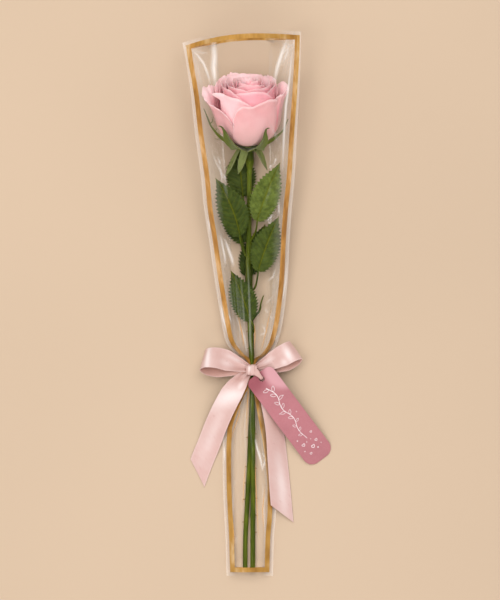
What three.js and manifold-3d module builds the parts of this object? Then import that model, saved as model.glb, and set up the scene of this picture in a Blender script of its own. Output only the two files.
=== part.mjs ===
// A single long-stemmed rose in a clear film sleeve, tied with a satin ribbon bow that carries a card tag.
// It lies on a table: +Y runs from the cut stems to the flower, +X to the right and +Z up from the table.
// Lengths are millimetres. The origin is under the middle of the whole object, on the table.
import * as THREE from "three";
import { mergeVertices } from "three/addons/utils/BufferGeometryUtils.js";
import Module from "manifold-3d";

const wasm = await Module();
wasm.setup();

// ---------- driving dimensions ----------

const FILM = 0.5; // wall of the sleeve
const RIBBON_THICK = 0.7;
const PETAL_THICK = 0.7;
const LEAF_THICK = 0.7;
const SEPAL_THICK = 0.8;
const TAG = { length: 91, width: 25.6, thick: 0.6, corner: 5.5, hole: 2.4, holeFromEnd: 5.6 };
const SEAT_GAP = 0.3; // between pieces that touch

// The flower leans up off the table by this much, about its base.
const BLOOM = { base: new THREE.Vector3(-8, 133.7, 18.6), lean: THREE.MathUtils.degToRad(22) };
// Where the ribbon ties the sleeve.
const NECK = { x: -4.8, y: -55, z: 6.7, halfWidth: 4.7, halfHeight: 5.35 };

const vec = (x, y, z) => new THREE.Vector3(x, y, z);
const smooth = THREE.MathUtils.smoothstep;
const curveThrough = (points) => new THREE.CatmullRomCurve3(points.map((p) => vec(...p)), false, "centripetal");

// ---------- closed meshes ----------

// A geometry from a list of points and faces given as point numbers.
function geometryOf(points, faces) {
  const position = new Float32Array(points.flatMap((p) => [p.x, p.y, p.z]));
  const geometry = new THREE.BufferGeometry();
  geometry.setAttribute("position", new THREE.BufferAttribute(position, 3));
  geometry.setIndex(faces);
  return geometry;
}

// A thin closed sheet of even thickness about the surface at(u, v), with u and v from 0 to 1.
function sheet(at, stepsU, stepsV, thick) {
  const grid = [];
  for (let i = 0; i <= stepsU; i++)
    for (let j = 0; j <= stepsV; j++) grid.push(at(i / stepsU, j / stepsV));
  const id = (i, j) => i * (stepsV + 1) + j;
  const between = (i0, j0, i1, j1) => grid[id(i1, j1)].clone().sub(grid[id(i0, j0)]);
  const front = [];
  const back = [];
  for (let i = 0; i <= stepsU; i++)
    for (let j = 0; j <= stepsV; j++) {
      const alongU = between(Math.max(i - 1, 0), j, Math.min(i + 1, stepsU), j);
      const alongV = between(i, Math.max(j - 1, 0), i, Math.min(j + 1, stepsV));
      const normal = alongU.cross(alongV).normalize().multiplyScalar(thick / 2);
      front.push(grid[id(i, j)].clone().add(normal));
      back.push(grid[id(i, j)].clone().sub(normal));
    }
  const faces = [];
  const half = front.length;
  const quad = (a, b, c, d) => faces.push(a, b, c, a, c, d);
  for (let i = 0; i < stepsU; i++)
    for (let j = 0; j < stepsV; j++) {
      const [a, b, c, d] = [id(i, j), id(i + 1, j), id(i + 1, j + 1), id(i, j + 1)];
      quad(a, b, c, d);
      faces.push(half + a, half + c, half + b, half + a, half + d, half + c);
    }
  const wall = (a, b) => quad(a, half + a, half + b, b);
  for (let i = 0; i < stepsU; i++) {
    wall(id(i, 0), id(i + 1, 0));
    wall(id(i + 1, stepsV), id(i, stepsV));
  }
  for (let j = 0; j < stepsV; j++) {
    wall(id(0, j + 1), id(0, j));
    wall(id(stepsU, j), id(stepsU, j + 1));
  }
  return geometryOf([...front, ...back], faces);
}

// A closed tube along a curve, its radius a function of the share of the way along it.
function tube(curve, radiusAt, steps, sides) {
  const frames = curve.computeFrenetFrames(steps, false);
  const points = [];
  const faces = [];
  for (let i = 0; i <= steps; i++) {
    const centre = curve.getPointAt(i / steps);
    const radius = radiusAt(i / steps);
    for (let k = 0; k < sides; k++) {
      const turn = (2 * Math.PI * k) / sides;
      const offset = frames.normals[i].clone().multiplyScalar(radius * Math.cos(turn));
      offset.addScaledVector(frames.binormals[i], radius * Math.sin(turn));
      points.push(centre.clone().add(offset));
    }
  }
  for (let i = 0; i < steps; i++)
    for (let k = 0; k < sides; k++) {
      const next = (k + 1) % sides;
      const [a, b, c, d] = [i * sides + k, i * sides + next, (i + 1) * sides + next, (i + 1) * sides + k];
      faces.push(a, b, c, a, c, d);
    }
  const [start, end] = [points.length, points.length + 1];
  points.push(curve.getPointAt(0), curve.getPointAt(1));
  for (let k = 0; k < sides; k++) {
    const next = (k + 1) % sides;
    faces.push(start, next, k, end, steps * sides + k, steps * sides + next);
  }
  return geometryOf(points, faces);
}

// ---------- booleans ----------

// A closed geometry as a solid, turned right side out.
function solidOf(geometry) {
  const bare = geometry.clone();
  bare.deleteAttribute("normal");
  bare.deleteAttribute("uv");
  const merged = mergeVertices(bare, 1e-4);
  const triVerts = new Uint32Array(merged.index.array);
  const mesh = () => new wasm.Mesh({ numProp: 3, vertProperties: merged.attributes.position.array, triVerts });
  const solid = new wasm.Manifold(mesh());
  if (solid.volume() > 0) return solid;
  for (let i = 0; i < triVerts.length; i += 3)
    [triVerts[i + 1], triVerts[i + 2]] = [triVerts[i + 2], triVerts[i + 1]];
  return new wasm.Manifold(mesh());
}

// One solid of several, with any pocket that they close off between them filled.
function joined(geometries) {
  const whole = geometries.map(solidOf).reduce((sum, next) => sum.add(next));
  return whole.decompose().reduce((best, body) => (body.volume() > best.volume() ? body : best));
}

function geometryFrom(solid) {
  const mesh = solid.getMesh();
  const geometry = new THREE.BufferGeometry();
  geometry.setAttribute("position", new THREE.BufferAttribute(new Float32Array(mesh.vertProperties), 3));
  geometry.setIndex(new THREE.BufferAttribute(new Uint32Array(mesh.triVerts), 1));
  return geometry;
}

// ---------- the flower's own frame ----------

// A point of the flower, from its height up the flower's axis, its distance from that axis
// and the angle round it: 0 faces up from the table and 90 degrees faces +X.
function inBloom(height, radius, degrees) {
  const turn = THREE.MathUtils.degToRad(degrees);
  const [side, up] = [radius * Math.sin(turn), radius * Math.cos(turn)];
  const [cos, sin] = [Math.cos(BLOOM.lean), Math.sin(BLOOM.lean)];
  return BLOOM.base.clone().add(vec(side, height * cos - up * sin, height * sin + up * cos));
}

// ---------- bloom ----------

const PETAL_FOOT = 3.2; // radius at which a petal leaves the core

// The value at t of a list of [t, value, ...] rows.
function rimAt(rows, t, column) {
  const next = Math.max(rows.findIndex((row) => row[0] >= t), 1);
  const [a, b] = [rows[next - 1], rows[next]];
  return THREE.MathUtils.mapLinear(t, a[0], b[0], a[column], b[column]);
}

// A petal: turn (degrees round the flower) of its middle, radius and height of its round bowl, half its width,
// how much its right edge stands outside its left, the height of its foot, and its rim as rows of
// [place across from -1 to 1, height, how far it flares out].
function petal(p, stepsU, stepsV) {
  return sheet((s, across) => {
    const t = 2 * across - 1;
    const [rim, flare] = [rimAt(p.rim, t, 1), rimAt(p.rim, t, 2)];
    const bowlEnd = Math.acos(1 - Math.min((rim - p.foot) / p.bowl, 1));
    const bowlLength = ((p.radius + p.bowl) / 2) * bowlEnd;
    const travel = s * (bowlLength + Math.max(rim - p.foot - p.bowl, 0));
    const angle = bowlEnd * Math.min(travel / bowlLength, 1);
    const ripple = 0.5 * smooth(s, 0.6, 1) * Math.sin(7 * t + p.turn);
    const height = p.foot + p.bowl * (1 - Math.cos(angle)) + Math.max(travel - bowlLength, 0) + ripple;
    const open = PETAL_FOOT + (p.radius - PETAL_FOOT) * Math.sin(angle);
    const radius = open + flare * smooth(s, 0.55, 1.45) * 2 + p.skew * t * Math.sin(angle);
    const halfWidth = p.halfWidth * (0.3 + 0.7 * smooth(s, 0, 0.55));
    const spread = Math.min(THREE.MathUtils.radToDeg(halfWidth / open), 80);
    return inBloom(height, radius, p.turn + spread * t);
  }, stepsU, stepsV, PETAL_THICK);
}

// The outer petals, placed as they lie: the broad one in front, the ones on the right and the left that
// roll outwards at the rim, the one behind the front one, and two at the back.
const OUTER_PETALS = [
  { turn: 15, radius: 28.5, bowl: 27, halfWidth: 21.6, skew: -0.2, foot: 0.6, rim: [
    [-1, 31, 0], [-0.8, 41, 0.2], [-0.5, 45.5, 0.6], [-0.25, 45.2, 1], [0.15, 47.5, 0.9], [0.6, 48.9, 1.4],
    [1, 46.5, 2.6]] },
  { turn: 80, radius: 26.9, bowl: 26, halfWidth: 17.4, skew: -0.3, foot: 0.9, rim: [
    [-1, 46, 1], [-0.7, 49.5, 4.6], [-0.3, 52, 7], [0.1, 53, 5.8], [0.5, 54, 2], [1, 49, -1.4]] },
  { turn: -71, radius: 27.7, bowl: 27, halfWidth: 21.4, skew: -0.9, foot: 0.9, rim: [
    [-1, 46, -0.8], [-0.6, 51, 3.2], [-0.36, 51, 8], [-0.18, 47.6, 10.4], [0, 43.4, 8.4], [0.2, 39.5, 3.6],
    [0.4, 37.2, 0.8], [0.75, 33.4, 0], [1, 26, 0]] },
  { turn: -18, radius: 25.5, bowl: 26, halfWidth: 19.8, skew: 0.4, foot: 1.4, rim: [
    [-1, 47, 4.4], [-0.84, 52.4, 3.6], [-0.6, 51.4, 0.6], [-0.1, 50.5, 0.2], [0.25, 48, 0.4], [0.45, 45.6, 0.6],
    [1, 38, 0]] },
  { turn: 150, radius: 26, bowl: 26, halfWidth: 20, skew: 0.6, foot: 0.9, rim: [
    [-1, 46, 0], [-0.6, 51.4, 0.4], [0, 52.6, 0.6], [0.6, 52.4, 0.4], [1, 46, 0]] },
  { turn: -146, radius: 26, bowl: 26, halfWidth: 20.4, skew: 0.6, foot: 0.9, rim: [
    [-1, 46, 0], [-0.6, 51.6, 0.6], [0, 52.8, 1], [0.6, 53, 1.6], [1, 48, 1]] },
];

// The inner rings, from the outside in: how many petals, the first one's turn, and the same sizes.
const RINGS = [
  { count: 5, first: 6, radius: 21.2, height: 54.6, halfWidth: 17, bowl: 24, flare: 0.2, foot: 2.2 },
  { count: 5, first: 46, radius: 17.2, height: 57, halfWidth: 14.4, bowl: 22, flare: 0.1, foot: 3.4 },
  { count: 5, first: 14, radius: 13.4, height: 58, halfWidth: 11.6, bowl: 20, flare: -0.7, foot: 4.6 },
  { count: 4, first: 40, radius: 9.6, height: 58, halfWidth: 9.4, bowl: 18, flare: -0.9, foot: 5.8 },
  { count: 3, first: 0, radius: 6, height: 57.6, halfWidth: 6.8, bowl: 15, flare: -0.9, foot: 7 },
];
const RING_SKEW = 1.2; // how far a petal's right edge stands outside the next one's left edge

function bloomCore() {
  const profile = [[0, 0.4], [3.6, 0.4], [6.5, 3], [4.2, 9], [3.2, 30], [2.6, 52], [0, 55]];
  const lathe = new THREE.LatheGeometry(profile.map(([r, h]) => new THREE.Vector2(r, h)), 10);
  const place = new THREE.Matrix4().makeRotationX(BLOOM.lean).setPosition(BLOOM.base);
  return lathe.applyMatrix4(place);
}

function bloom() {
  const petals = OUTER_PETALS.map((p) => petal(p, 7, 8));
  for (const ring of RINGS)
    for (let k = 0; k < ring.count; k++) {
      const turn = ring.first + (360 / ring.count) * k;
      const rim = [-1, -0.5, 0, 0.5, 1].map((t) => [t, ring.height - 11 * Math.abs(t) ** 3, ring.flare]);
      const [stepsU, stepsV] = ring.radius > 10 ? [5, 4] : [4, 3];
      petals.push(petal({ ...ring, turn, rim, skew: RING_SKEW }, stepsU, stepsV));
    }
  return joined([bloomCore(), ...petals]);
}

// ---------- leaves and sepals ----------

const LEAF_TEETH = 10; // along each edge

// Half the width of a leaf as a share of its greatest, from its base to its tip, with a saw-toothed edge.
function leafHalfWidth(u, tooth) {
  const outline = Math.sin(Math.PI * Math.min(u + 0.03, 1) ** 0.8) ** 0.75;
  return Math.max(outline * (tooth % 2 ? 1.04 : 0.96), 0.02);
}

// A leaf: base and tip of its midrib, the half width, how far the midrib bows to its right, how far it
// arches up, how far its halves fold up, and how far it rolls about its midrib (degrees, right side down).
function leaf(p) {
  const base = vec(...p.base);
  const length = vec(...p.tip).sub(base);
  const along = length.clone().normalize();
  const side = along.clone().cross(vec(0, 0, 1)).normalize();
  side.applyAxisAngle(along, THREE.MathUtils.degToRad(p.roll));
  const up = side.clone().cross(along).normalize();
  const steps = 2 * LEAF_TEETH;
  return sheet((u, v) => {
    const t = 2 * v - 1;
    const half = p.halfWidth * leafHalfWidth(u, Math.round(u * steps));
    const lift = p.arch * 4 * u * (1 - u) + p.fold * Math.abs(t) * half;
    const across = half * t + p.bow * 4 * u * (1 - u);
    return base.clone().addScaledVector(length, u).addScaledVector(side, across).addScaledVector(up, lift);
  }, steps, 2, LEAF_THICK);
}

// A leaf's stalk, from inside the stem to just past the foot of the leaf.
const stalk = (points, radius) => tube(curveThrough(points), () => radius, 6, 5);

// A sepal: the points of its middle line in the flower's frame (height, radius, turn) and its half width.
function sepal(p) {
  const middle = new THREE.CatmullRomCurve3(p.line.map((q) => inBloom(...q)));
  const steps = 7;
  return sheet((u, v) => {
    const point = middle.getPointAt(u);
    const ahead = middle.getTangentAt(u);
    const outward = point.clone().sub(inBloom(0, 0, 0)).normalize();
    const side = ahead.clone().cross(outward).normalize();
    const half = Math.max(p.half * Math.sin(Math.PI * Math.min(0.28 + 0.72 * u, 1)) ** 0.8, 0.35);
    return point.addScaledVector(side, (2 * v - 1) * half);
  }, steps, 2, SEPAL_THICK);
}

// Four sepals curl up beside the flower and three hang down.
const SEPALS = [
  { half: 1.9, line: [[-1.5, 2.5, -75], [1.5, 13, -76], [8, 23.5, -78], [17, 30.8, -80], [26, 34.5, -80],
    [33.5, 37.5, -80]] },
  { half: 3.3, line: [[-1.5, 2.5, -32], [0, 12, -34], [7, 23.6, -34], [15, 29.8, -36], [21, 31.6, -39],
    [25.5, 34.6, -42]] },
  { half: 3.3, line: [[-1.5, 2.5, 26], [0, 12, 27], [7, 23.8, 27], [15, 30.4, 27], [21, 32, 26.5],
    [25.5, 34.4, 28]] },
  { half: 1.9, line: [[-1.5, 2.5, 72], [1.5, 13, 73], [8, 23.5, 75], [15, 30.2, 76], [20, 32.4, 76], [25, 34.2, 76]] },
  { half: 3.1, line: [[-2, 2, -70], [-4, 7.5, -68], [-10, 11, -66], [-17, 13.5, -66], [-21.5, 15.6, -66]] },
  { half: 3.1, line: [[-2, 2, -20], [-4.5, 6, -26], [-10, 7.6, -34], [-16, 8.4, -40], [-21, 8.8, -44]] },
  { half: 3.1, line: [[-2, 2, 62], [-4, 7.5, 64], [-9, 11, 68], [-15, 13.6, 72], [-20, 16.4, 74]] },
];

// ---------- rose stem ----------

const ROSE_STEM = [
  [-4.2, -222.9, 3.1], [-4.1, -190, 3.3], [-4, -163, 4.5], [-4, -130, 6.4], [-4.2, -105, 7.3], [-4.4, -80, 8.2],
  [-5, -55, 8.95], [-6.3, -21, 9.3], [-8, 20, 9.3], [-7.5, 50, 9.1], [-7.5, 85, 8.7], [-7.7, 105, 10.1], [-8, 117.6, 12.2],
];
const SHOOT_STEM = [
  [-10.5, -220.4, 3], [-10.3, -196, 3], [-8.6, -163, 3], [-7, -130, 3], [-6, -105, 3.1], [-4.9, -80, 3.6],
  [-4.6, -55, 4.4], [-5.4, -21, 4.75], [-6, 20, 4.8], [-5.4, 52, 5.2],
];
const TWIG = [[-5.3, -14, 4.8], [-1.6, -9.4, 5.6], [1.4, -5.6, 6.4], [2.9, 1.4, 7.2], [4.9, 7.1, 7.9]];
const STEM_RADIUS = 2.1;
const SHOOT_RADIUS = 2;

const PETAL_BASE = 0.25; // height of the underside of the lowest petals

// The hip that carries the petals, a slim cup that runs down into the stem.
function hip() {
  const top = PETAL_BASE - SEAT_GAP;
  const profile = [[0, -19], [2.2, -19], [2.4, -16.4], [2.9, -15.8], [2.9, -15], [2.7, -14.2], [3.5, -9], [4.1, -3],
    [3.9, -0.9], [3.2, top], [0, top]];
  const lathe = new THREE.LatheGeometry(profile.map(([r, h]) => new THREE.Vector2(r, h)), 10);
  const place = new THREE.Matrix4().makeRotationX(BLOOM.lean).setPosition(BLOOM.base);
  return lathe.applyMatrix4(place);
}

// Small prickles along a stem, each given its share of the way along and its side: 1 right, -1 left.
function prickles(curve, radius, places) {
  return places.map(([share, side]) => {
    const cone = new THREE.ConeGeometry(0.9, 2.4, 4);
    const ahead = curve.getTangentAt(share);
    const out = ahead.clone().cross(vec(0, 0, 1)).normalize().multiplyScalar(side);
    const way = out.clone().addScaledVector(ahead, -0.35).normalize();
    cone.applyQuaternion(new THREE.Quaternion().setFromUnitVectors(vec(0, 1, 0), way));
    const foot = curve.getPointAt(share).addScaledVector(out, radius + 0.2);
    return cone.translate(foot.x, foot.y, foot.z);
  });
}

function roseStem() {
  const line = curveThrough(ROSE_STEM);
  return joined([
    tube(line, () => STEM_RADIUS, 34, 8),
    hip(),
    ...SEPALS.map(sepal),
    ...prickles(line, STEM_RADIUS, [[0.09, 1], [0.17, 1], [0.24, 1], [0.32, 1], [0.52, -1], [0.56, -1]]),
    // upper left leaf
    leaf({ base: [-14.9, 57, 14.5], tip: [-35.4, 105, 25], halfWidth: 12.6, bow: 3, arch: 2.2, fold: 0.16, roll: -3 }),
    stalk([[-7.6, 38, 9.2], [-11, 42, 11.4], [-13.6, 49, 13.4], [-15.4, 59, 14.9]], 0.9),
    // upper right leaf
    leaf({ base: [-0.6, 69.4, 15], tip: [18.5, 117.6, 24.5], halfWidth: 12, bow: -1.2, arch: 2, fold: 0.16, roll: 4 }),
    stalk([[-7.6, 50, 9], [-4, 56, 11], [-1.4, 62, 13.3], [-0.2, 71, 15.3]], 0.9),
    // top leaf, behind the stem
    leaf({ base: [-12.3, 90, 4.4], tip: [-16.5, 131, 4.6], halfWidth: 12.4, bow: 0, arch: 0.2, fold: 0.04, roll: 0 }),
    stalk([[-7.6, 72, 8.9], [-10, 77, 6.6], [-11.6, 83, 5], [-12.5, 92, 4.5]], 0.9),
    // a leaf behind the upper left one
    leaf({ base: [-12.4, 51, 6.4], tip: [-26, 92, 8], halfWidth: 11, bow: 0, arch: 0.8, fold: 0.06, roll: 0 }),
    stalk([[-7.8, 38, 9], [-9.8, 41, 7.6], [-11.4, 45, 6.6], [-12.8, 53, 6.4]], 0.9),
  ]);
}

// ---------- leafy shoot ----------

function leafyShoot() {
  const line = curveThrough(SHOOT_STEM);
  return joined([
    tube(line, (u) => SHOOT_RADIUS - 0.4 * smooth(u, 0.75, 1), 30, 8),
    ...prickles(line, SHOOT_RADIUS, [[0.14, -1], [0.21, -1], [0.31, -1], [0.4, -1]]),
    // lower right leaf
    leaf({ base: [0.4, 27.6, 13], tip: [17.5, 72.9, 21], halfWidth: 12, bow: -1.2, arch: 2, fold: 0.14, roll: 3 }),
    stalk([[-5.4, 10, 4.9], [-2.2, 14, 7.2], [-0.6, 20, 10.4], [0.7, 29.4, 13.3]], 0.9),
    // lower left leaf, over both stems
    leaf({ base: [-6.4, -13.9, 13.4], tip: [-22.3, 27.5, 16], halfWidth: 11.2, bow: 1.4, arch: 1.6, fold: 0.12, roll: -4 }),
    stalk([[-5.2, -26, 4.6], [-1.7, -22, 8.4], [-3, -17.6, 12.2], [-6.8, -12.4, 13.6]], 0.9),
    // a leaf behind the lower right one
    leaf({ base: [-10.2, 23.5, 2.4], tip: [6, 66.5, 3.4], halfWidth: 11, bow: 0, arch: 0.3, fold: 0.03, roll: 0 }),
    stalk([[-6, 12, 4.6], [-8.6, 15.5, 3.6], [-9.8, 19, 2.8], [-9.6, 25.4, 2.5]], 0.8),
    // a bare twig
    tube(curveThrough(TWIG), (u) => 1.2 - 0.7 * u, 8, 5),
  ]);
}

// ---------- sleeve ----------

// Down the sleeve: y, its left and right edges, and the heights of its side seams, its top and its underside.
// An underside below 0 is laid flat on the table.
const SLEEVE_ROWS = [
  [-227, -26, 12.7, 3.8, 9, -0.8], [-196, -26.9, 13.5, 3.7, 8.6, -0.8], [-173, -28.1, 15.2, 3.7, 9, -0.8],
  [-155, -28.9, 15.2, 3.8, 9.6, -0.8], [-126, -29.3, 12.7, 4, 11, -0.8], [-105, -28.5, 9.4, 4.4, 11.7, -0.6],
  [-92, -24.8, 6.9, 5, 12, -0.2], [-75, -17.5, 3.8, 5.9, 12.2, 0.6], [-60, -9.5, -0.1, 6.7, 12.05, 1.35],
  [-50, -9.5, -0.1, 6.7, 12.05, 1.35], [-47, -11.6, 2, 6.7, 12.4, 1.3], [-42, -18.5, 10, 7.4, 15.4, 0.5],
  [-30, -27, 17.2, 9, 20.5, -0.6], [-7, -31.5, 21.9, 13, 30.5, -2], [24, -36.5, 25.2, 18, 40, -3],
  [53, -40.6, 26.5, 22.5, 48, -4], [82, -45, 28.5, 27, 55.5, -5], [104, -47, 30.6, 30.5, 61.5, -6],
  [145, -52.6, 32.7, 37.5, 69, -7], [173, -55.4, 34.2, 40, 70, -7], [203, -59.8, 35.4, 38, 64, -6],
  [227.5, -62.7, 36, 35, 57, -5],
];
const SEAM_WIDTH = 3; // flat joined strip along each side
const ACROSS = 14; // steps across each sheet
const PLEATS = 4.5; // waves across a sheet where it is gathered

// Each sheet swells from its side seams as a lens does.
const bulge = (q) => 1 - Math.abs(q) ** 2.4;
// The mouth is cut on a curve that falls away to the left.
const mouthDrop = (x) => (x < 0 ? 0.00266 : 0.0007) * x * x;
// How deep the gathers are, by distance from the tie.
const pleatDepth = (y) => 0.5 * smooth(Math.abs(y - NECK.y), 4, 16) * (1 - smooth(Math.abs(y - NECK.y), 24, 80));

function sleeve() {
  const rows = SLEEVE_ROWS.map(([y, left, right, seam, top, under]) => {
    const [centre, half] = [(left + right) / 2, (right - left) / 2];
    const inner = half - Math.min(SEAM_WIDTH, 0.1 * half);
    const lip = y === SLEEVE_ROWS.at(-1)[0] ? mouthDrop : () => 0;
    // One loop round the sleeve: over the top from left to right, then back underneath.
    const loop = (inset) => {
      const points = [];
      const put = (x, z) => points.push(vec(x, y - lip(x), z));
      const rise = (q, height) => {
        return (height + pleatDepth(y) * (1 + Math.cos(2 * Math.PI * PLEATS * q))) * bulge(q);
      };
      const wall = FILM - inset;
      if (!inset) put(centre - half, seam + wall);
      for (let k = 0; k <= ACROSS; k++) {
        const q = (2 * k) / ACROSS - 1;
        put(centre + inner * q, seam + wall + rise(q, top - seam - FILM));
      }
      if (!inset) {
        put(centre + half, seam + wall);
        put(centre + half, seam - wall);
      }
      for (let k = inset ? ACROSS - 1 : ACROSS; k >= (inset ? 1 : 0); k--) {
        const q = (2 * k) / ACROSS - 1;
        const sag = seam - FILM - (seam - FILM - under) * bulge(q);
        put(centre + inner * q, Math.min(Math.max(sag, 0) + inset, seam - wall));
      }
      if (!inset) put(centre - half, seam - wall);
      return points;
    };
    return { outer: loop(0), inner: loop(FILM) };
  });
  const points = rows.flatMap((row) => [...row.outer, ...row.inner]);
  const [n, m] = [rows[0].outer.length, rows[0].inner.length];
  const faces = [];
  const quad = (a, b, c, d) => faces.push(a, b, c, a, c, d);
  for (let r = 0; r + 1 < rows.length; r++) {
    const [here, next] = [r * (n + m), (r + 1) * (n + m)];
    for (let k = 0; k < n; k++) quad(here + k, here + ((k + 1) % n), next + ((k + 1) % n), next + k);
    for (let k = 0; k < m; k++)
      quad(here + n + ((k + 1) % m), here + n + k, next + n + k, next + n + ((k + 1) % m));
  }
  // The open ends: the wall's own edge, and the flat seam strip at each side.
  for (const [start, flip] of [[0, false], [(rows.length - 1) * (n + m), true]]) {
    const face = (a, b, c) => (flip ? faces.push(start + a, start + c, start + b) : faces.push(start + a, start + b, start + c));
    const outerTop = (k) => 1 + k;
    const outerUnder = (k) => ACROSS + 4 + (ACROSS - k);
    const innerTop = (k) => n + k;
    const innerUnder = (k) => (k === 0 || k === ACROSS ? n + k : n + ACROSS + (ACROSS - k));
    for (let k = 0; k < ACROSS; k++) {
      face(outerTop(k), innerTop(k + 1), outerTop(k + 1));
      face(outerTop(k), innerTop(k), innerTop(k + 1));
      face(outerUnder(k + 1), innerUnder(k), outerUnder(k));
      face(outerUnder(k + 1), innerUnder(k + 1), innerUnder(k));
    }
    const [leftTop, leftUnder, rightTop, rightUnder] = [0, n - 1, ACROSS + 2, ACROSS + 3];
    face(leftTop, innerTop(0), outerTop(0));
    face(leftTop, leftUnder, innerTop(0));
    face(leftUnder, outerUnder(0), innerTop(0));
    face(rightTop, outerTop(ACROSS), innerTop(ACROSS));
    face(rightTop, innerTop(ACROSS), rightUnder);
    face(rightUnder, innerTop(ACROSS), outerUnder(ACROSS));
  }
  return solidOf(geometryOf(points, faces));
}

// ---------- ribbon ----------

// A strip of ribbon: its middle line as x, y, z, half width as seen flat, and the way its width runs, per point.
function strip(rows, stepsU, stepsV, thick) {
  const middle = curveThrough(rows.map((row) => row.at));
  const last = rows.length - 1;
  return sheet((u, v) => {
    const place = u * last;
    const i = Math.min(Math.floor(place), last - 1);
    const share = place - i;
    const half = THREE.MathUtils.lerp(rows[i].half, rows[i + 1].half, share);
    const way = vec(...rows[i].way).normalize().lerp(vec(...rows[i + 1].way).normalize(), share).normalize();
    return middle.getPoint(u).addScaledVector(way, (2 * v - 1) * half);
  }, stepsU, stepsV, thick);
}

const LOOP_LEFT = [
  { at: [-5, -54, 14.2], half: 2.4, way: [0, 1, 0] }, { at: [-14, -51, 15], half: 5.6, way: [0.1, 1, -0.1] },
  { at: [-25, -47.2, 17.6], half: 8.8, way: [0.2, 1, -0.3] }, { at: [-35, -44.7, 18.8], half: 9.2, way: [0.25, 1, -0.45] },
  { at: [-43, -44.8, 17.2], half: 9.3, way: [0.25, 1, -0.5] }, { at: [-46, -47, 13.4], half: 9.4, way: [0.25, 1, -0.5] },
  { at: [-42, -50.4, 10], half: 9.4, way: [0.2, 1, -0.45] }, { at: [-33, -52.6, 9.2], half: 8.8, way: [0.1, 1, -0.3] },
  { at: [-22, -53, 11.4], half: 7, way: [0, 1, -0.15] }, { at: [-13, -54, 13], half: 4.4, way: [0, 1, 0] },
  { at: [-5, -55, 13.4], half: 2.4, way: [0, 1, 0] },
];
const LOOP_RIGHT = [
  { at: [-4, -54, 14.2], half: 2.4, way: [0, 1, 0] }, { at: [4, -51, 14], half: 4.6, way: [-0.3, 1, 0] },
  { at: [12, -47.4, 14.6], half: 7.2, way: [-0.45, 1, -0.1] }, { at: [20, -43.6, 16.8], half: 8.8, way: [-0.6, 1, -0.2] },
  { at: [27.6, -39.6, 17.6], half: 9.2, way: [-0.7, 1, -0.35] }, { at: [32, -38.6, 14], half: 9.3, way: [-0.7, 1, -0.4] },
  { at: [30, -42.6, 10.4], half: 9.3, way: [-0.6, 1, -0.35] }, { at: [23, -47.6, 9.2], half: 8.6, way: [-0.45, 1, -0.2] },
  { at: [13, -51.6, 10.4], half: 6, way: [-0.3, 1, 0] }, { at: [4, -54, 12.6], half: 3.4, way: [-0.1, 1, 0] },
  { at: [-4, -55, 13.4], half: 2.4, way: [0, 1, 0] },
];
const TAIL_LEFT = [
  { at: [-6, -55, 13.2], half: 2.4, way: [-0.5, 0.9, 0] }, { at: [-11, -60, 13.4], half: 4.6, way: [-0.75, 0.6, -0.1] },
  { at: [-16, -66, 12.6], half: 7.4, way: [-0.85, 0.45, -0.15] }, { at: [-21.4, -74, 11.6], half: 9.2, way: [-0.9, 0.42, -0.22] },
  { at: [-28.4, -87, 9.2], half: 9.5, way: [-0.92, 0.39, -0.26] }, { at: [-34.9, -101.5, 6.3], half: 9.5, way: [-0.92, 0.39, -0.2] },
  { at: [-40.8, -117, 1.9], half: 9.5, way: [-0.92, 0.39, -0.06] }, { at: [-45.6, -128.6, 0.9], half: 9.5, way: [-0.92, 0.39, 0] },
  { at: [-50.4, -141.2, 0.6], half: 9.5, way: [-0.92, 0.39, 0] }, { at: [-55.4, -154.6, 0.6], half: 9.5, way: [-0.92, 0.39, 0] },
];
const TAIL_RIGHT = [
  { at: [-3, -55, 13.2], half: 2.4, way: [0.9, 0.4, 0] }, { at: [1, -62, 12.6], half: 4.4, way: [0.95, 0.3, -0.1] },
  { at: [4.6, -72, 10.6], half: 7.4, way: [0.97, 0.2, -0.35] }, { at: [8, -86, 7.8], half: 9.2, way: [0.98, 0.15, -0.5] },
  { at: [12, -105, 5.9], half: 9.5, way: [0.98, 0.14, -0.5] }, { at: [15.4, -126, 5.2], half: 9.5, way: [0.98, 0.13, -0.45] },
  { at: [18.2, -153, 4.6], half: 9.5, way: [0.98, 0.13, -0.42] }, { at: [20.8, -182, 4.2], half: 9.5, way: [0.98, 0.13, -0.4] },
  { at: [22.2, -196, 4.2], half: 9.5, way: [0.98, 0.13, -0.4] },
];
// The narrow bight that the tag hangs on: over the tag's end, down its hole and back to the knot.
const TAG_BIGHT = [
  [-5, -55, 16.4], [-1.8, -56.8, 18.4], [0, -58.4, 19.2], [1.8, -60.3, 19], [3.2, -61.8, 17.8], [3.5, -62.2, 16.4],
  [2.9, -61.7, 15], [1.2, -60.2, 14.2], [-1, -58, 14], [-5, -55, 14],
];

// Cuts a strip's end on the slant, from a point and the way out past the cut.
function trimmed(solid, point, outward) {
  const block = new THREE.BoxGeometry(80, 80, 80).translate(0, 0, 40);
  block.applyQuaternion(new THREE.Quaternion().setFromUnitVectors(vec(0, 0, 1), vec(...outward).normalize()));
  return solid.subtract(solidOf(block.translate(...point)));
}

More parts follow.
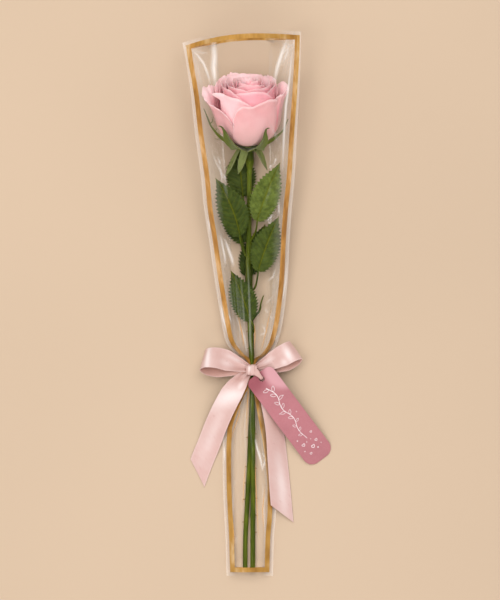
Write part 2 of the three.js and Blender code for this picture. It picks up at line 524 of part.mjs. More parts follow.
function ribbonBow() {
  const band = new THREE.Shape().absellipse(0, 0, NECK.halfWidth + 1.05, NECK.halfHeight + 1.05, 0, 2 * Math.PI);
  const [clearX, clearZ] = [NECK.halfWidth + 1.4 * SEAT_GAP, NECK.halfHeight + 1.1 * SEAT_GAP];
  band.holes.push(new THREE.Path().absellipse(0, 0, clearX, clearZ, 0, 2 * Math.PI));
  const bandDepth = 7;
  const bandSolid = new THREE.ExtrudeGeometry(band, { depth: bandDepth, bevelEnabled: false, curveSegments: 9 });
  bandSolid.rotateX(Math.PI / 2).translate(NECK.x, NECK.y + bandDepth / 2, NECK.z);
  const knot = new THREE.SphereGeometry(1, 12, 8).scale(5.7, 4.7, 3.5).translate(-5, -55, 15.95);
  const bight = curveThrough(TAG_BIGHT);
  const tails = [
    trimmed(solidOf(strip(TAIL_LEFT, 16, 1, RIBBON_THICK)), [-50.3, -141.3, 0], [-0.89, -0.45, 0]),
    trimmed(solidOf(strip(TAIL_RIGHT, 14, 1, RIBBON_THICK)), [20.7, -175.4, 0], [-0.61, -0.79, 0]),
  ];
  const rest = joined([
    bandSolid, knot, tube(bight, () => 1.1, 14, 6),
    strip(LOOP_LEFT, 20, 2, RIBBON_THICK), strip(LOOP_RIGHT, 20, 2, RIBBON_THICK),
  ]);
  return tails.reduce((whole, tail) => whole.add(tail), rest);
}

// ---------- tag ----------

function giftTag() {
  const [half, r] = [TAG.width / 2, TAG.corner];
  const card = new THREE.Shape();
  card.moveTo(-half + r, 0).lineTo(half - r, 0).absarc(half - r, -r, r, Math.PI / 2, 0, true);
  card.lineTo(half, -TAG.length + r).absarc(half - r, -TAG.length + r, r, 0, -Math.PI / 2, true);
  card.lineTo(-half + r, -TAG.length).absarc(-half + r, -TAG.length + r, r, -Math.PI / 2, -Math.PI, true);
  card.lineTo(-half, -r).absarc(-half + r, -r, r, Math.PI, Math.PI / 2, true);
  card.holes.push(new THREE.Path().absarc(0, -TAG.holeFromEnd, TAG.hole, 0, 2 * Math.PI));
  const plate = new THREE.ExtrudeGeometry(card, { depth: TAG.thick, bevelEnabled: false, curveSegments: 8 });
  // It slopes from the knot down to the table, turned so that its far end points down and to the right.
  const [turn, drop] = [Math.atan2(0.6, 0.8), Math.asin(16.6 / TAG.length)];
  plate.rotateX(drop).rotateZ(turn).translate(0.2, -57.9, 16.8);
  return solidOf(plate);
}

// ---------- the assembly ----------

const finish = (colour, roughness, extra = {}) =>
  new THREE.MeshStandardMaterial({ color: colour, roughness, metalness: 0, ...extra });

const SUB_PARTS = {
  bloom: [bloom, finish("#f9ccd2", 0.6)],
  rose_stem: [roseStem, finish("#5b6d26", 0.55)],
  leafy_shoot: [leafyShoot, finish("#4a5c22", 0.55)],
  film_sleeve: [sleeve, finish("#f6f2ea", 0.1, { transparent: true, opacity: 0.2, side: THREE.DoubleSide })],
  ribbon_bow: [ribbonBow, finish("#f1d2cb", 0.35)],
  gift_tag: [giftTag, finish("#d18c90", 0.7)],
};

const wrappedRose = new THREE.Group();
for (const [name, [make, material]] of Object.entries(SUB_PARTS)) {
  const mesh = new THREE.Mesh(geometryFrom(make()), material);
  mesh.name = name;
  wrappedRose.add(mesh);
}

export default wrappedRose;
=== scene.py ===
"""Dresses the wrapped rose: petals, leaves, clear film with gold borders, satin bow and card tag."""
import math
import random

import bpy
import numpy as np
from bpy.props import FloatProperty, FloatVectorProperty, IntProperty, PointerProperty
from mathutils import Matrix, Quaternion, Vector


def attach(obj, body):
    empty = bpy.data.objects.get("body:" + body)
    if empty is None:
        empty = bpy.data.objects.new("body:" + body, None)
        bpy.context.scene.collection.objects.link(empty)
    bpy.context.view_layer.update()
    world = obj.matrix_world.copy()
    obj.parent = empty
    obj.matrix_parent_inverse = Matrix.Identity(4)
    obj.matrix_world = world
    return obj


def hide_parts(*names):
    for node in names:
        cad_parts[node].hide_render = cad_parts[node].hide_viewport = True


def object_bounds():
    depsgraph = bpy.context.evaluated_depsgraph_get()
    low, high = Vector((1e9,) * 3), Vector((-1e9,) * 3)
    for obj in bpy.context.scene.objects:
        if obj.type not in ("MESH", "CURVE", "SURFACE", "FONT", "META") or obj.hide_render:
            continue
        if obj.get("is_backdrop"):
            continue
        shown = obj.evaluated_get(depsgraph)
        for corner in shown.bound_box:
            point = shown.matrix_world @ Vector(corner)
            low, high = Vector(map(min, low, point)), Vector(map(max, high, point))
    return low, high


bl_info = {
    "name": "Wrapped rose",
    "version": (1, 0, 0),
    "blender": (4, 5, 0),
    "location": "3D View > Sidebar > Wrapped rose",
    "description": "Builds a single rose in a clear film sleeve with a satin bow and a card tag",
    "category": "Object",
}

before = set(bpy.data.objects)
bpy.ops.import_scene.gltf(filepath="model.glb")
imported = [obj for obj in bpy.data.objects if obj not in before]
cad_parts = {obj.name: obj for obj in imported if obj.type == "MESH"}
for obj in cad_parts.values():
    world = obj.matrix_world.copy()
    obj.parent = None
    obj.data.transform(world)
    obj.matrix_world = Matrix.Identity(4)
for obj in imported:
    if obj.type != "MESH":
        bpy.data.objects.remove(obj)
CAD_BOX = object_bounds()
MM = 0.001

# ---------------------------------------------------------------- sizes shared with the solids (mm)

BLOOM_BASE = Vector((-8, 133.7, 18.6))
BLOOM_LEAN = math.radians(22)
PETAL_FOOT = 3.2
NECK_Y = -55
LEAF_TEETH = 18

# Each outer petal, with its rim in rows of place across, height and how far it flares.
OUTER_PETALS = [
    dict(turn=13.6, radius=28.5, bowl=27, half=19.2, skew=-0.2, foot=0.6, roll=1.5, lap=0.4, rim=[
        (-1, 31, 0), (-0.8, 41, 0.2), (-0.5, 45.5, 0.6), (-0.25, 45.2, 1), (0.15, 47.5, 0.9),
        (0.6, 48.9, 1.0), (1, 46.9, 0.5)]),
    # This petal has a painted shadow streak on its side next to the front petal, cast by that petal's edge.
    dict(turn=80, radius=27.6, bowl=26, half=17.8, skew=-0.3, foot=0.9, roll=1.4, frill=1.7, frill_at=-0.15,
         flush=-0.55, rim=[
        (-1, 46, 0), (-0.72, 49, 0.8), (-0.4, 51.4, 4.6), (-0.1, 52.6, 5.6), (0.15, 53, 4.8), (0.5, 54, 2),
        (1, 49, -1.4)]),
    dict(turn=-71, radius=27.7, bowl=27, half=21.4, skew=-0.9, foot=0.9, roll=1.4, frill=1.7, frill_at=-0.25,
         rim=[
        (-1, 46, -0.8), (-0.6, 51, 3.2), (-0.36, 51, 8), (-0.18, 47.6, 9.6), (0, 43.4, 7.8), (0.2, 39.5, 3.6),
        (0.4, 37.2, 0.8), (0.75, 33.4, 0), (1, 26, 0)]),
    # This petal's light share paints a highlight on it.
    dict(turn=-18, radius=25.5, bowl=26, half=18.4, skew=0.4, foot=1.4, roll=1.5, light=0.85, curl=5.6, rim=[
        (-1, 51.4, 2.6), (-0.87, 52.8, 1.8), (-0.62, 51.4, 0.8), (-0.1, 50.5, 0.2), (0.25, 48, 0.4),
        (0.45, 45.6, 0.6), (1, 38, 0)]),
    dict(turn=150, radius=26, bowl=26, half=20, skew=0.6, foot=0.9, roll=1.6, ripple=2.0, frill=0.9, rim=[
        (-1, 46, 0), (-0.6, 51.4, 0.4), (0, 52.6, 0.6), (0.6, 52.4, 0.4), (1, 46, 0)]),
    dict(turn=-146, radius=26, bowl=26, half=20.4, skew=0.6, foot=0.9, roll=1.6, ripple=2.0, frill=0.9, rim=[
        (-1, 46, 0), (-0.6, 51.6, 0.6), (0, 52.8, 1), (0.6, 53, 1.6), (1, 48, 1)]),
]
RINGS = [
    dict(turns=(4, 82, 156, 222, 296), radius=21.6, height=54.6, half=20, bowl=24, flare=0.2,
         foot=2.2, drop=7.5),
    dict(turns=(-50, 47, 134, 222), radius=17.8, height=56.2, half=20, bowl=22, flare=-0.4,
         foot=3.4, drop=5.2),
    dict(turns=(14, 128, 248), radius=14, height=56.8, half=17, bowl=20, flare=-2.2, foot=4.6, drop=3.4),
    dict(turns=(-42, 84, 208), radius=11.2, height=57.8, half=15, bowl=18, flare=-4.2, foot=5.8, drop=2.6),
    dict(turns=(30, 200), radius=7.4, height=58, half=12, bowl=15, flare=-4.4, foot=7, drop=1.6),
]
RING_SKEW = 1.2

ROSE_STEM = [
    (-4.2, -222.9, 3.1), (-4.1, -190, 3.3), (-4, -163, 4.5), (-4, -130, 6.4), (-4.2, -105, 7.3),
    (-4.4, -80, 8.2), (-5, -55, 8.95), (-6.3, -21, 9.3), (-8, 20, 9.3), (-7.4, 50, 9.1), (-7.1, 85, 8.7),
    (-6.9, 105, 10.1), (-6.7, 116, 12), (-7.1, 125, 15.1), (-8, 133.3, 18.4)]
SHOOT_STEM = [
    (-10.5, -220.4, 3), (-10.3, -196, 3), (-8.6, -163, 3), (-7, -130, 3), (-6, -105, 3.1), (-4.9, -80, 3.6),
    (-4.6, -55, 4.4), (-5.4, -21, 4.75), (-6, 20, 4.8), (-5.4, 52, 5.2)]
TWIG = [(-5.3, -14, 4.8), (-1.6, -9.4, 5.6), (1.4, -5.6, 6.4), (2.9, 1.4, 7.2), (4.9, 7.1, 7.9)]
STEM_RADIUS = 2.1
SHOOT_RADIUS = 2.0

# Each leaf: foot and tip of its midrib, half width, bow, arch, fold, roll, its share of painted light and its
# stalk.
ROSE_LEAVES = [
    dict(base=(-14.9, 57, 14.5), tip=(-35.4, 105, 25), half=12.6, bow=3, arch=2.2, fold=0.16, roll=-3,
         tone=0.22, stalk=[
        (-7.6, 38, 9.2), (-11, 42, 11.4), (-13.6, 49, 13.4), (-15.4, 59, 14.9)]),
    dict(base=(-0.6, 69.4, 15), tip=(18.5, 117.6, 24.5), half=12, bow=-1.2, arch=2, fold=0.16, roll=4,
         tone=0.85, stalk=[
        (-7.6, 50, 9), (-4, 56, 11), (-1.4, 62, 13.3), (-0.2, 71, 15.3)]),
    dict(base=(-12.3, 90, 4.4), tip=(-16.5, 131, 4.6), half=12.4, bow=0, arch=0.2, fold=0.04, roll=0,
         tone=0.32, stalk=[
        (-7.6, 72, 8.9), (-10, 77, 6.6), (-11.6, 83, 5), (-12.5, 92, 4.5)]),
    dict(base=(-12.4, 51, 6.4), tip=(-26, 92, 8), half=11, bow=0, arch=0.8, fold=0.06, roll=0, tone=0.1,
         stalk=[
        (-7.8, 38, 9), (-9.8, 41, 7.6), (-11.4, 45, 6.6), (-12.8, 53, 6.4)]),
]
SHOOT_LEAVES = [
    dict(base=(0.4, 27.6, 13), tip=(17.5, 72.9, 21), half=12, bow=-1.2, arch=2, fold=0.14, roll=3, tone=0.34,
         stalk=[
        (-5.4, 10, 4.9), (-2.2, 14, 7.2), (-0.6, 20, 10.4), (0.7, 29.4, 13.3)]),
    dict(base=(-6.4, -13.9, 13.4), tip=(-22.3, 27.5, 16), half=11.2, bow=1.4, arch=1.6, fold=0.12, roll=-4,
         tone=0.2, stalk=[
        (-5.2, -26, 4.6), (-3.2, -22.6, 8.6), (-3.6, -18, 12.6), (-6.8, -12.4, 13.6)]),
    dict(base=(-10.2, 23.5, 2.4), tip=(6, 66.5, 3.4), half=11, bow=0, arch=0.3, fold=0.03, roll=0, tone=0.1,
         stalk=[
        (-6, 12, 4.6), (-8.6, 15.5, 3.6), (-9.8, 19, 2.8), (-9.6, 25.4, 2.5)]),
]
# Each sepal, with its middle line in rows of height, distance from the flower's axis and turn.
SEPALS = [
    dict(half=2.1, side=True, face=48, slim=0.3, line=[
        (-1.5, 2.5, -75), (1.5, 13, -76), (8, 23.5, -78), (17, 30.8, -80), (26, 34.5, -80),
        (33.5, 37.5, -80)]),
    dict(half=4.7, side=False, face=0, slim=0.6, flared=2.9, line=[
        (-1.5, 2.5, -30), (0, 12, -33), (7, 23.6, -34), (15, 29.8, -36), (21, 31.6, -39), (24.6, 33.8, -41),
        (25.6, 35.6, -43.5)]),
    dict(half=4.7, side=False, face=0, slim=0.6, flared=2.9, line=[
        (-1.5, 2.5, 24), (0, 12, 26), (7, 23.8, 27), (15, 30.4, 27), (21, 32, 26.5), (24.6, 33.6, 27.5),
        (25.4, 35.2, 30)]),
    dict(half=2.1, side=False, face=-48, slim=0.35, line=[
        (-1.5, 2.5, 72), (1.5, 13, 73), (8, 23.5, 75), (15, 30.2, 76), (20, 32.4, 76), (25, 34.2, 76)]),
    dict(half=3.1, side=True, face=0, slim=0.8, pale=1, line=[
        (-2, 2, -72), (-5, 7.5, -72), (-12, 11.5, -72), (-20, 15.5, -74), (-27, 19.6, -76)]),
    dict(half=3.1, side=False, face=0, slim=0.8, pale=1, line=[
        (-2, 2, -20), (-4.5, 6, -26), (-11, 7.8, -36), (-18, 9, -46), (-25, 10, -56)]),
    dict(half=3.1, side=False, face=0, slim=0.8, pale=0.7, line=[
        (-2, 2, 62), (-4, 7.5, 64), (-9, 11, 68), (-15.5, 13.6, 72), (-22, 16.6, 74)]),
]

CALYX_CUP = [
    (-2.4, 0), (-2.4, 4.4), (-1.3, 8), (0.2, 11), (1.5, 12.9), (1.9, 13), (1.8, 12.5), (0.7, 10.6),
    (-0.6, 7.6), (-1.3, 4), (-1.3, 0)]

# Down the sleeve: y, left and right edges, seam height, top height, underside height.
SLEEVE_ROWS = [
    (-227, -26, 12.7, 3.8, 9, -0.8), (-196, -26.9, 13.5, 3.7, 8.6, -0.8), (-173, -28.1, 15.2, 3.7, 9, -0.8),
    (-155, -28.9, 15.2, 3.8, 9.6, -0.8), (-126, -29.3, 12.7, 4, 11, -0.8),
    (-105, -28.5, 9.4, 4.4, 11.7, -0.6), (-92, -24.8, 6.9, 5, 12, -0.2), (-75, -17.5, 3.8, 5.9, 12.2, 0.6),
    (-60, -9.5, -0.1, 6.7, 12.05, 1.35), (-50, -9.5, -0.1, 6.7, 12.05, 1.35), (-47, -11.6, 2, 6.7, 12.4, 1.3),
    (-42, -18.5, 10, 7.4, 15.4, 0.5), (-30, -27, 17.2, 9, 20.5, -0.6), (-7, -31.5, 21.9, 13, 30.5, -2),
    (24, -36.5, 25.2, 18, 40, -3), (53, -40.6, 26.5, 22.5, 48, -4), (82, -45, 28.5, 27, 55.5, -5),
    (104, -47, 30.6, 30.5, 61.5, -6), (145, -52.6, 32.7, 37.5, 69, -7), (173, -55.4, 34.2, 40, 70, -7),
    (203, -59.8, 35.4, 38, 64, -6), (227.5, -62.7, 36, 35, 57, -5)]
SLEEVE_FOOT, SLEEVE_MOUTH = SLEEVE_ROWS[0][0], SLEEVE_ROWS[-1][0]
SEAM_WIDTH = 3.0

BORDER_INSET = 3.1

# Clear margin left and right of the gold border, down the sleeve: y, left, right.
BORDER_INSETS = [
    (-227, 3.1, 3.1), (60, 3.1, 3.1), (145, 2.9, 2.2), (190, 2.2, 1.4), (216, 1.7, 1.0), (228, 1.7, 1.0)]

# Each loop and tail of the ribbon in rows of middle, half width and the way its width runs.
LOOP_LEFT = [
    ((-5, -54, 14.2), 2.4, (0, 1, 0)), ((-14, -51, 15), 5.6, (0.1, 1, -0.1)),
    ((-25, -47.2, 17.6), 8.8, (0.2, 1, -0.3)), ((-35, -44.7, 18.8), 9.2, (0.25, 1, -0.45)),
    ((-43, -44.8, 17.2), 9.3, (0.25, 1, -0.5)), ((-46, -47, 13.4), 9.4, (0.25, 1, -0.5)),
    ((-42, -50.4, 10), 9.4, (0.2, 1, -0.45)), ((-33, -52.6, 9.2), 8.8, (0.1, 1, -0.3)),
    ((-22, -53, 11.4), 7, (0, 1, -0.15)), ((-13, -54, 13), 4.4, (0, 1, 0)), ((-5, -55, 13.4), 2.4, (0, 1, 0))]
LOOP_RIGHT = [
    ((-4, -54, 14.2), 2.4, (0, 1, 0)), ((4, -51, 14), 4.6, (-0.3, 1, 0)),
    ((12, -47.4, 14.6), 7.2, (-0.45, 1, -0.1)), ((20, -43.6, 16.8), 8.8, (-0.6, 1, -0.2)),
    ((27.6, -39.6, 17.6), 9.2, (-0.7, 1, -0.35)), ((32, -38.6, 14), 9.3, (-0.7, 1, -0.4)),
    ((30, -42.6, 10.4), 9.3, (-0.6, 1, -0.35)), ((23, -47.6, 9.2), 8.6, (-0.45, 1, -0.2)),
    ((13, -51.6, 10.4), 6, (-0.3, 1, 0)), ((4, -54, 12.6), 3.4, (-0.1, 1, 0)),
    ((-4, -55, 13.4), 2.4, (0, 1, 0))]
TAIL_LEFT = [
    ((-6, -55, 13.2), 2.4, (-0.5, 0.9, 0)), ((-11, -60, 13.4), 4.6, (-0.75, 0.6, -0.1)),
    ((-16, -66, 12.6), 7.4, (-0.85, 0.45, -0.15)), ((-21.4, -74, 11.6), 9.2, (-0.9, 0.42, -0.22)),
    ((-28.4, -87, 9.2), 9.5, (-0.92, 0.39, -0.26)), ((-34.9, -101.5, 6.3), 9.5, (-0.92, 0.39, -0.2)),
    ((-40.8, -117, 1.9), 9.5, (-0.92, 0.39, -0.06)), ((-45.6, -128.6, 1.0), 9.5, (-0.92, 0.39, 0)),
    ((-50.4, -141.2, 0.75), 9.5, (-0.92, 0.39, 0)), ((-55.4, -154.6, 0.75), 9.5, (-0.92, 0.39, 0))]
TAIL_RIGHT = [
    ((-3, -55, 13.2), 2.4, (0.9, 0.4, 0)), ((1.4, -62, 12.6), 3.8, (0.95, 0.3, -0.1)),
    ((5.8, -72, 10.6), 5.8, (0.97, 0.2, -0.35)), ((10.2, -86, 7.8), 7.5, (0.98, 0.15, -0.5)),
    ((14, -105, 5.9), 8.3, (0.98, 0.14, -0.5)), ((16.1, -126, 5.2), 9, (0.98, 0.13, -0.45)),
    ((18.4, -153, 4.6), 9.4, (0.98, 0.13, -0.42)), ((20.8, -182, 4.2), 9.5, (0.98, 0.13, -0.4)),
    ((22.2, -196, 4.2), 9.5, (0.98, 0.13, -0.4))]
TAG_BIGHT = [
    (-5, -55, 16.4), (-1.8, -56.8, 18.4), (0, -58.4, 19.2), (1.8, -60.3, 19), (3.2, -61.8, 17.8),
    (3.5, -62.2, 16.4), (2.9, -61.7, 15), (1.2, -60.2, 14.2), (-1, -58, 14), (-5, -55, 14)]
KNOT = Vector((-5.1, NECK_Y, 15.9))
RIBBON_HALF = 9.5
TAG = dict(length=91, width=25.6, thick=0.6, near=5.5, far=8.3, hole=2.4, hole_from_end=5.6)
TAG_TURN = math.atan2(0.6, 0.8)
TAG_DROP = math.asin(16.6 / 91)
TAG_PLACE = Vector((0.2, -57.9, 16.8))


# ---------------------------------------------------------------- settings

class BloomSettings(bpy.types.PropertyGroup):
    """Petals of the flower."""
    thickness: FloatProperty(name="Petal thickness", description="Thickness of a petal, mm",
                             default=0.4, min=0.1)
    outer: FloatVectorProperty(name="Outer face", description="Colour of the petals' outer faces",
                               subtype="COLOR", size=3, default=(0.72, 0.385, 0.395))
    inner: FloatVectorProperty(name="Inner face", description="Colour of the petals' inner faces",
                               subtype="COLOR", size=3, default=(0.99, 0.71, 0.745))


class LeafSettings(bpy.types.PropertyGroup):
    """Stems, leaves and sepals."""
    thickness: FloatProperty(name="Leaf thickness", description="Thickness of a leaf, mm",
                             default=0.4, min=0.1)
    blade: FloatVectorProperty(name="Leaf", description="Colour of a leaf between its veins", subtype="COLOR",
                               size=3, default=(0.0215, 0.038, 0.004))
    vein: FloatVectorProperty(name="Vein", description="Colour of the veins", subtype="COLOR", size=3,
                              default=(0.15, 0.155, 0.006))
    stem: FloatVectorProperty(name="Stem", description="Colour of the stems", subtype="COLOR", size=3,
                              default=(0.036, 0.056, 0.003))
    seed: IntProperty(name="Seed", description="Seed for the prickles", default=5)


class FilmSettings(bpy.types.PropertyGroup):
    """Clear sleeve and its gold border."""
    thickness: FloatProperty(name="Film thickness", description="Drawn thickness of the film, mm",
                             default=0.16)
    border: FloatProperty(name="Border width", description="Width of the gold border, mm", default=3.9)
    inset: FloatProperty(name="Border inset", description="Clear margin outside the border, mm",
                         default=BORDER_INSET)
    gold: FloatVectorProperty(name="Gold", description="Colour of the printed border", subtype="COLOR",
                              size=3, default=(0.66, 0.355, 0.085))
    seed: IntProperty(name="Seed", description="Seed for the small creases", default=11)


class RibbonSettings(bpy.types.PropertyGroup):
    """Satin ribbon bow."""
    thickness: FloatProperty(name="Ribbon thickness", description="Drawn thickness of the ribbon, mm",
                             default=0.4)
    satin: FloatVectorProperty(name="Satin", description="Colour of the ribbon", subtype="COLOR", size=3,
                               default=(0.57, 0.37, 0.34))
    picot: FloatProperty(name="Edge loop spacing", description="Distance between the edge loops, mm",
                         default=1.0)


class TagSettings(bpy.types.PropertyGroup):
    """Card tag."""
    card: FloatVectorProperty(name="Card", description="Colour of the card", subtype="COLOR", size=3,
                              default=(0.365, 0.138, 0.157))
    ink: FloatVectorProperty(name="Print", description="Colour of the printed sprig", subtype="COLOR", size=3,
                             default=(0.76, 0.68, 0.69))


class StageSettings(bpy.types.PropertyGroup):
    """Floor, lights and camera."""
    floor: FloatVectorProperty(name="Floor", description="Colour of the floor", subtype="COLOR", size=3,
                               default=(0.50, 0.385, 0.28))
    key: FloatProperty(name="Key light", description="Power of the key light, W", default=5.8)


SETTINGS = {
    "rose_bloom": BloomSettings, "rose_leaves": LeafSettings, "rose_film": FilmSettings,
    "rose_ribbon": RibbonSettings, "rose_tag": TagSettings, "rose_stage": StageSettings,
}


# ---------------------------------------------------------------- curves and tables

def smooth(x, low, high):
    """Smooth step from 0 at low to 1 at high."""
    share = min(max((x - low) / (high - low), 0), 1)
    return share * share * (3 - 2 * share)


def table(rows, x, column):
    """The column's value at x, on a smooth curve through the rows that doesn't overshoot them."""
    keys = [row[0] for row in rows]
    values = [row[column] for row in rows]
    secants = [(values[i + 1] - values[i]) / (keys[i + 1] - keys[i]) for i in range(len(keys) - 1)]
    slopes = [secants[0]]
    for before, after in zip(secants, secants[1:]):
        slopes.append(0 if before * after <= 0 else 2 * before * after / (before + after))
    slopes.append(secants[-1])
    x = np.clip(x, keys[0], keys[-1])
    i = np.clip(np.searchsorted(keys, x, side="right") - 1, 0, len(keys) - 2)
    keys, values, slopes = np.array(keys, float), np.array(values, float), np.array(slopes, float)
    step = keys[i + 1] - keys[i]
    t = (x - keys[i]) / step
    return (values[i] * (1 + 2 * t) * (1 - t) ** 2 + step * slopes[i] * t * (1 - t) ** 2
            + values[i + 1] * t * t * (3 - 2 * t) + step * slopes[i + 1] * t * t * (t - 1))


class Path:
    """A centripetal curve through points, read by its share of the knots or of its length."""

    def __init__(self, points, steps=16):
        self.knots = [Vector(p) for p in points]
        self.steps = steps
        samples = (len(self.knots) - 1) * steps
        self.line = [self.at_knots(i / samples) for i in range(samples + 1)]
        self.lengths = [0.0]
        for a, b in zip(self.line, self.line[1:]):
            self.lengths.append(self.lengths[-1] + (b - a).length)

    def at_knots(self, share):
        place = min(max(share, 0), 1) * (len(self.knots) - 1)
        i = min(int(place), len(self.knots) - 2)
        t = place - i
        b, c = self.knots[i], self.knots[i + 1]
        a = self.knots[i - 1] if i else b * 2 - c
        d = self.knots[i + 2] if i + 2 < len(self.knots) else c * 2 - b
        t0, t1 = 0.0, max((b - a).length, 1e-6) ** 0.5
        t2 = t1 + max((c - b).length, 1e-6) ** 0.5
        t3 = t2 + max((d - c).length, 1e-6) ** 0.5
        x = t1 + (t2 - t1) * t
        a1 = a * ((t1 - x) / (t1 - t0)) + b * ((x - t0) / (t1 - t0))
        a2 = b * ((t2 - x) / (t2 - t1)) + c * ((x - t1) / (t2 - t1))
        a3 = c * ((t3 - x) / (t3 - t2)) + d * ((x - t2) / (t3 - t2))
        b1 = a1 * ((t2 - x) / (t2 - t0)) + a2 * ((x - t0) / (t2 - t0))
        b2 = a2 * ((t3 - x) / (t3 - t1)) + a3 * ((x - t1) / (t3 - t1))
        return b1 * ((t2 - x) / (t2 - t1)) + b2 * ((x - t1) / (t2 - t1))

    @property
    def length(self):
        return self.lengths[-1]

    def at(self, share):
        want = min(max(share, 0), 1) * self.length
        i = int(np.searchsorted(self.lengths, want, side="right")) - 1
        i = min(max(i, 0), len(self.line) - 2)
        span = self.lengths[i + 1] - self.lengths[i]
        return self.line[i].lerp(self.line[i + 1], (want - self.lengths[i]) / span if span else 0)

    def ahead(self, share):
        return (self.at(share + 0.004) - self.at(share - 0.004)).normalized()


# ---------------------------------------------------------------- meshes

class Shape:
    """Collects closed pieces in millimetres, then makes one object of them in metres."""

    def __init__(self):
        self.points, self.faces, self.uvs, self.marks = [], [], [], {}

    def add(self, points, faces, uvs, **marks):
        first = len(self.points)
        self.points += [tuple(p) for p in points]
        self.faces += [tuple(first + i for i in face) for face in faces]
        self.uvs += uvs
        for name, values in marks.items():
            column = self.marks.setdefault(name, [0.0] * first)
            column += [0.0] * (first - len(column)) + list(values)

    def sheet(self, at, along, across, thick, marks=None):
        """A thin closed sheet about the surface at(u, v); side is 1 on the face its normal leaves."""
        grid = [[at(i / along, j / across) for j in range(across + 1)] for i in range(along + 1)]
        front, back, uvs = [], [], []
        for i in range(along + 1):
            for j in range(across + 1):
                down = grid[min(i + 1, along)][j] - grid[max(i - 1, 0)][j]
                over = grid[i][min(j + 1, across)] - grid[i][max(j - 1, 0)]
                width = thick(i / along, j / across) if callable(thick) else thick
                normal = down.cross(over).normalized() * (width / 2)
                front.append(grid[i][j] + normal)
                back.append(grid[i][j] - normal)
                uvs.append((j / across, i / along))
        half = len(front)
        place = lambda i, j: i * (across + 1) + j
        faces = []
        for i in range(along):
            for j in range(across):
                a, b, c, d = place(i, j), place(i + 1, j), place(i + 1, j + 1), place(i, j + 1)
                faces += [(a, b, c, d), (half + a, half + d, half + c, half + b)]
        for i in range(along):
            for a, b in ((place(i, 0), place(i + 1, 0)), (place(i + 1, across), place(i, across))):
                faces.append((a, half + a, half + b, b))
        for j in range(across):
            for a, b in ((place(0, j + 1), place(0, j)), (place(along, j), place(along, j + 1))):
                faces.append((a, half + a, half + b, b))
        extra = {"side": [1.0] * half + [0.0] * half, "down": [uv[1] for uv in uvs] * 2}
        for name, value in (marks or {}).items():
            extra[name] = [value(uv[1], uv[0]) if callable(value) else value for uv in uvs] * 2
        self.add(front + back, faces, uvs * 2, **extra)

    def tube(self, path, radius, steps, sides, flat=1.0, marks=None):
        """A closed round tube along a path, its radius a function of the share of the way along."""
        points, faces, uvs = [], [], []
        side = path.ahead(0).cross(Vector((0, 0, 1))).normalized()
        for i in range(steps + 1):
            share = i / steps
            ahead = path.ahead(share)
            side = (side - ahead * side.dot(ahead)).normalized()
            up = side.cross(ahead)
            for k in range(sides):
                turn = 2 * math.pi * k / sides
                wide = radius(share, turn) if radius.__code__.co_argcount == 2 else radius(share)
                points.append(
                    path.at(share) + side * (wide * math.cos(turn)) + up * (wide * flat * math.sin(turn)))
                uvs.append((k / sides, share * path.length / 10))
        for i in range(steps):
            for k in range(sides):
                n = (k + 1) % sides
                faces.append((i * sides + k, (i + 1) * sides + k, (i + 1) * sides + n, i * sides + n))
        ends = (len(points), len(points) + 1)
        points += [path.at(0), path.at(1)]
        uvs += [(0.5, 0.0), (0.5, path.length / 10)]
        for k in range(sides):
            n = (k + 1) % sides
            faces += [(ends[0], k, n), (ends[1], steps * sides + n, steps * sides + k)]
        extra = {name: [value] * len(points) for name, value in (marks or {}).items()}
        self.add(points, faces, uvs, **extra)

    def lathe(self, profile, sides, place, marks=None):
        """A closed turned form from profile rows of (height, radius), each set by place(..., degrees)."""
        points, faces, uvs = [], [], []
        inner = profile[1:-1]
        for height, radius in inner:
            for k in range(sides):
                points.append(place(height, radius, 360 * k / sides))
                uvs.append((k / sides, height / 10))
        for i in range(len(inner) - 1):
            for k in range(sides):
                n = (k + 1) % sides
                faces.append((i * sides + k, i * sides + n, (i + 1) * sides + n, (i + 1) * sides + k))
        ends = (len(points), len(points) + 1)
        points += [place(profile[0][0], 0, 0), place(profile[-1][0], 0, 0)]
        uvs += [(0.5, 0.0), (0.5, 1.0)]
        last = (len(inner) - 1) * sides
        for k in range(sides):
            n = (k + 1) % sides
            faces += [(ends[0], n, k), (ends[1], last + k, last + n)]
        extra = {name: [value] * len(points) for name, value in (marks or {}).items()}
        self.add(points, faces, uvs, **extra)

    def object(self, name, material, sharp=48):
        mesh = bpy.data.meshes.new(name)
        mesh.from_pydata([(x * MM, y * MM, z * MM) for x, y, z in self.points], [], self.faces)
        corner = mesh.uv_layers.new(name="UVMap")
        order = np.zeros(len(mesh.loops), dtype=np.int32)
        mesh.loops.foreach_get("vertex_index", order)
        corner.data.foreach_set("uv", np.array(self.uvs, dtype=np.float32)[order].ravel())
        for key, values in self.marks.items():
            values = values + [0.0] * (len(self.points) - len(values))
            mesh.attributes.new(key, "FLOAT", "POINT").data.foreach_set("value", values)
        return piece_from(mesh, name, material, sharp)


def placed(name, data):
    """A new object of the scene that holds this data."""
    thing = bpy.data.objects.new(name, data)
    bpy.context.scene.collection.objects.link(thing)
    return thing


def discard(thing):
    mesh = thing.data
    bpy.data.objects.remove(thing)
    bpy.data.meshes.remove(mesh)


def piece_from(mesh, name, material, sharp=48):
    """Makes a mesh a smooth piece with its finish."""
    mesh.validate()
    mesh.polygons.foreach_set("use_smooth", [True] * len(mesh.polygons))
    mesh.set_sharp_from_angle(angle=math.radians(sharp))
    mesh.materials.append(material)
    return placed(name, mesh)


def evaluated(thing):
    """The thing's mesh with its modifiers or its curve's depth worked out."""
    bpy.context.view_layer.update()
    return bpy.data.meshes.new_from_object(thing.evaluated_get(bpy.context.evaluated_depsgraph_get()))


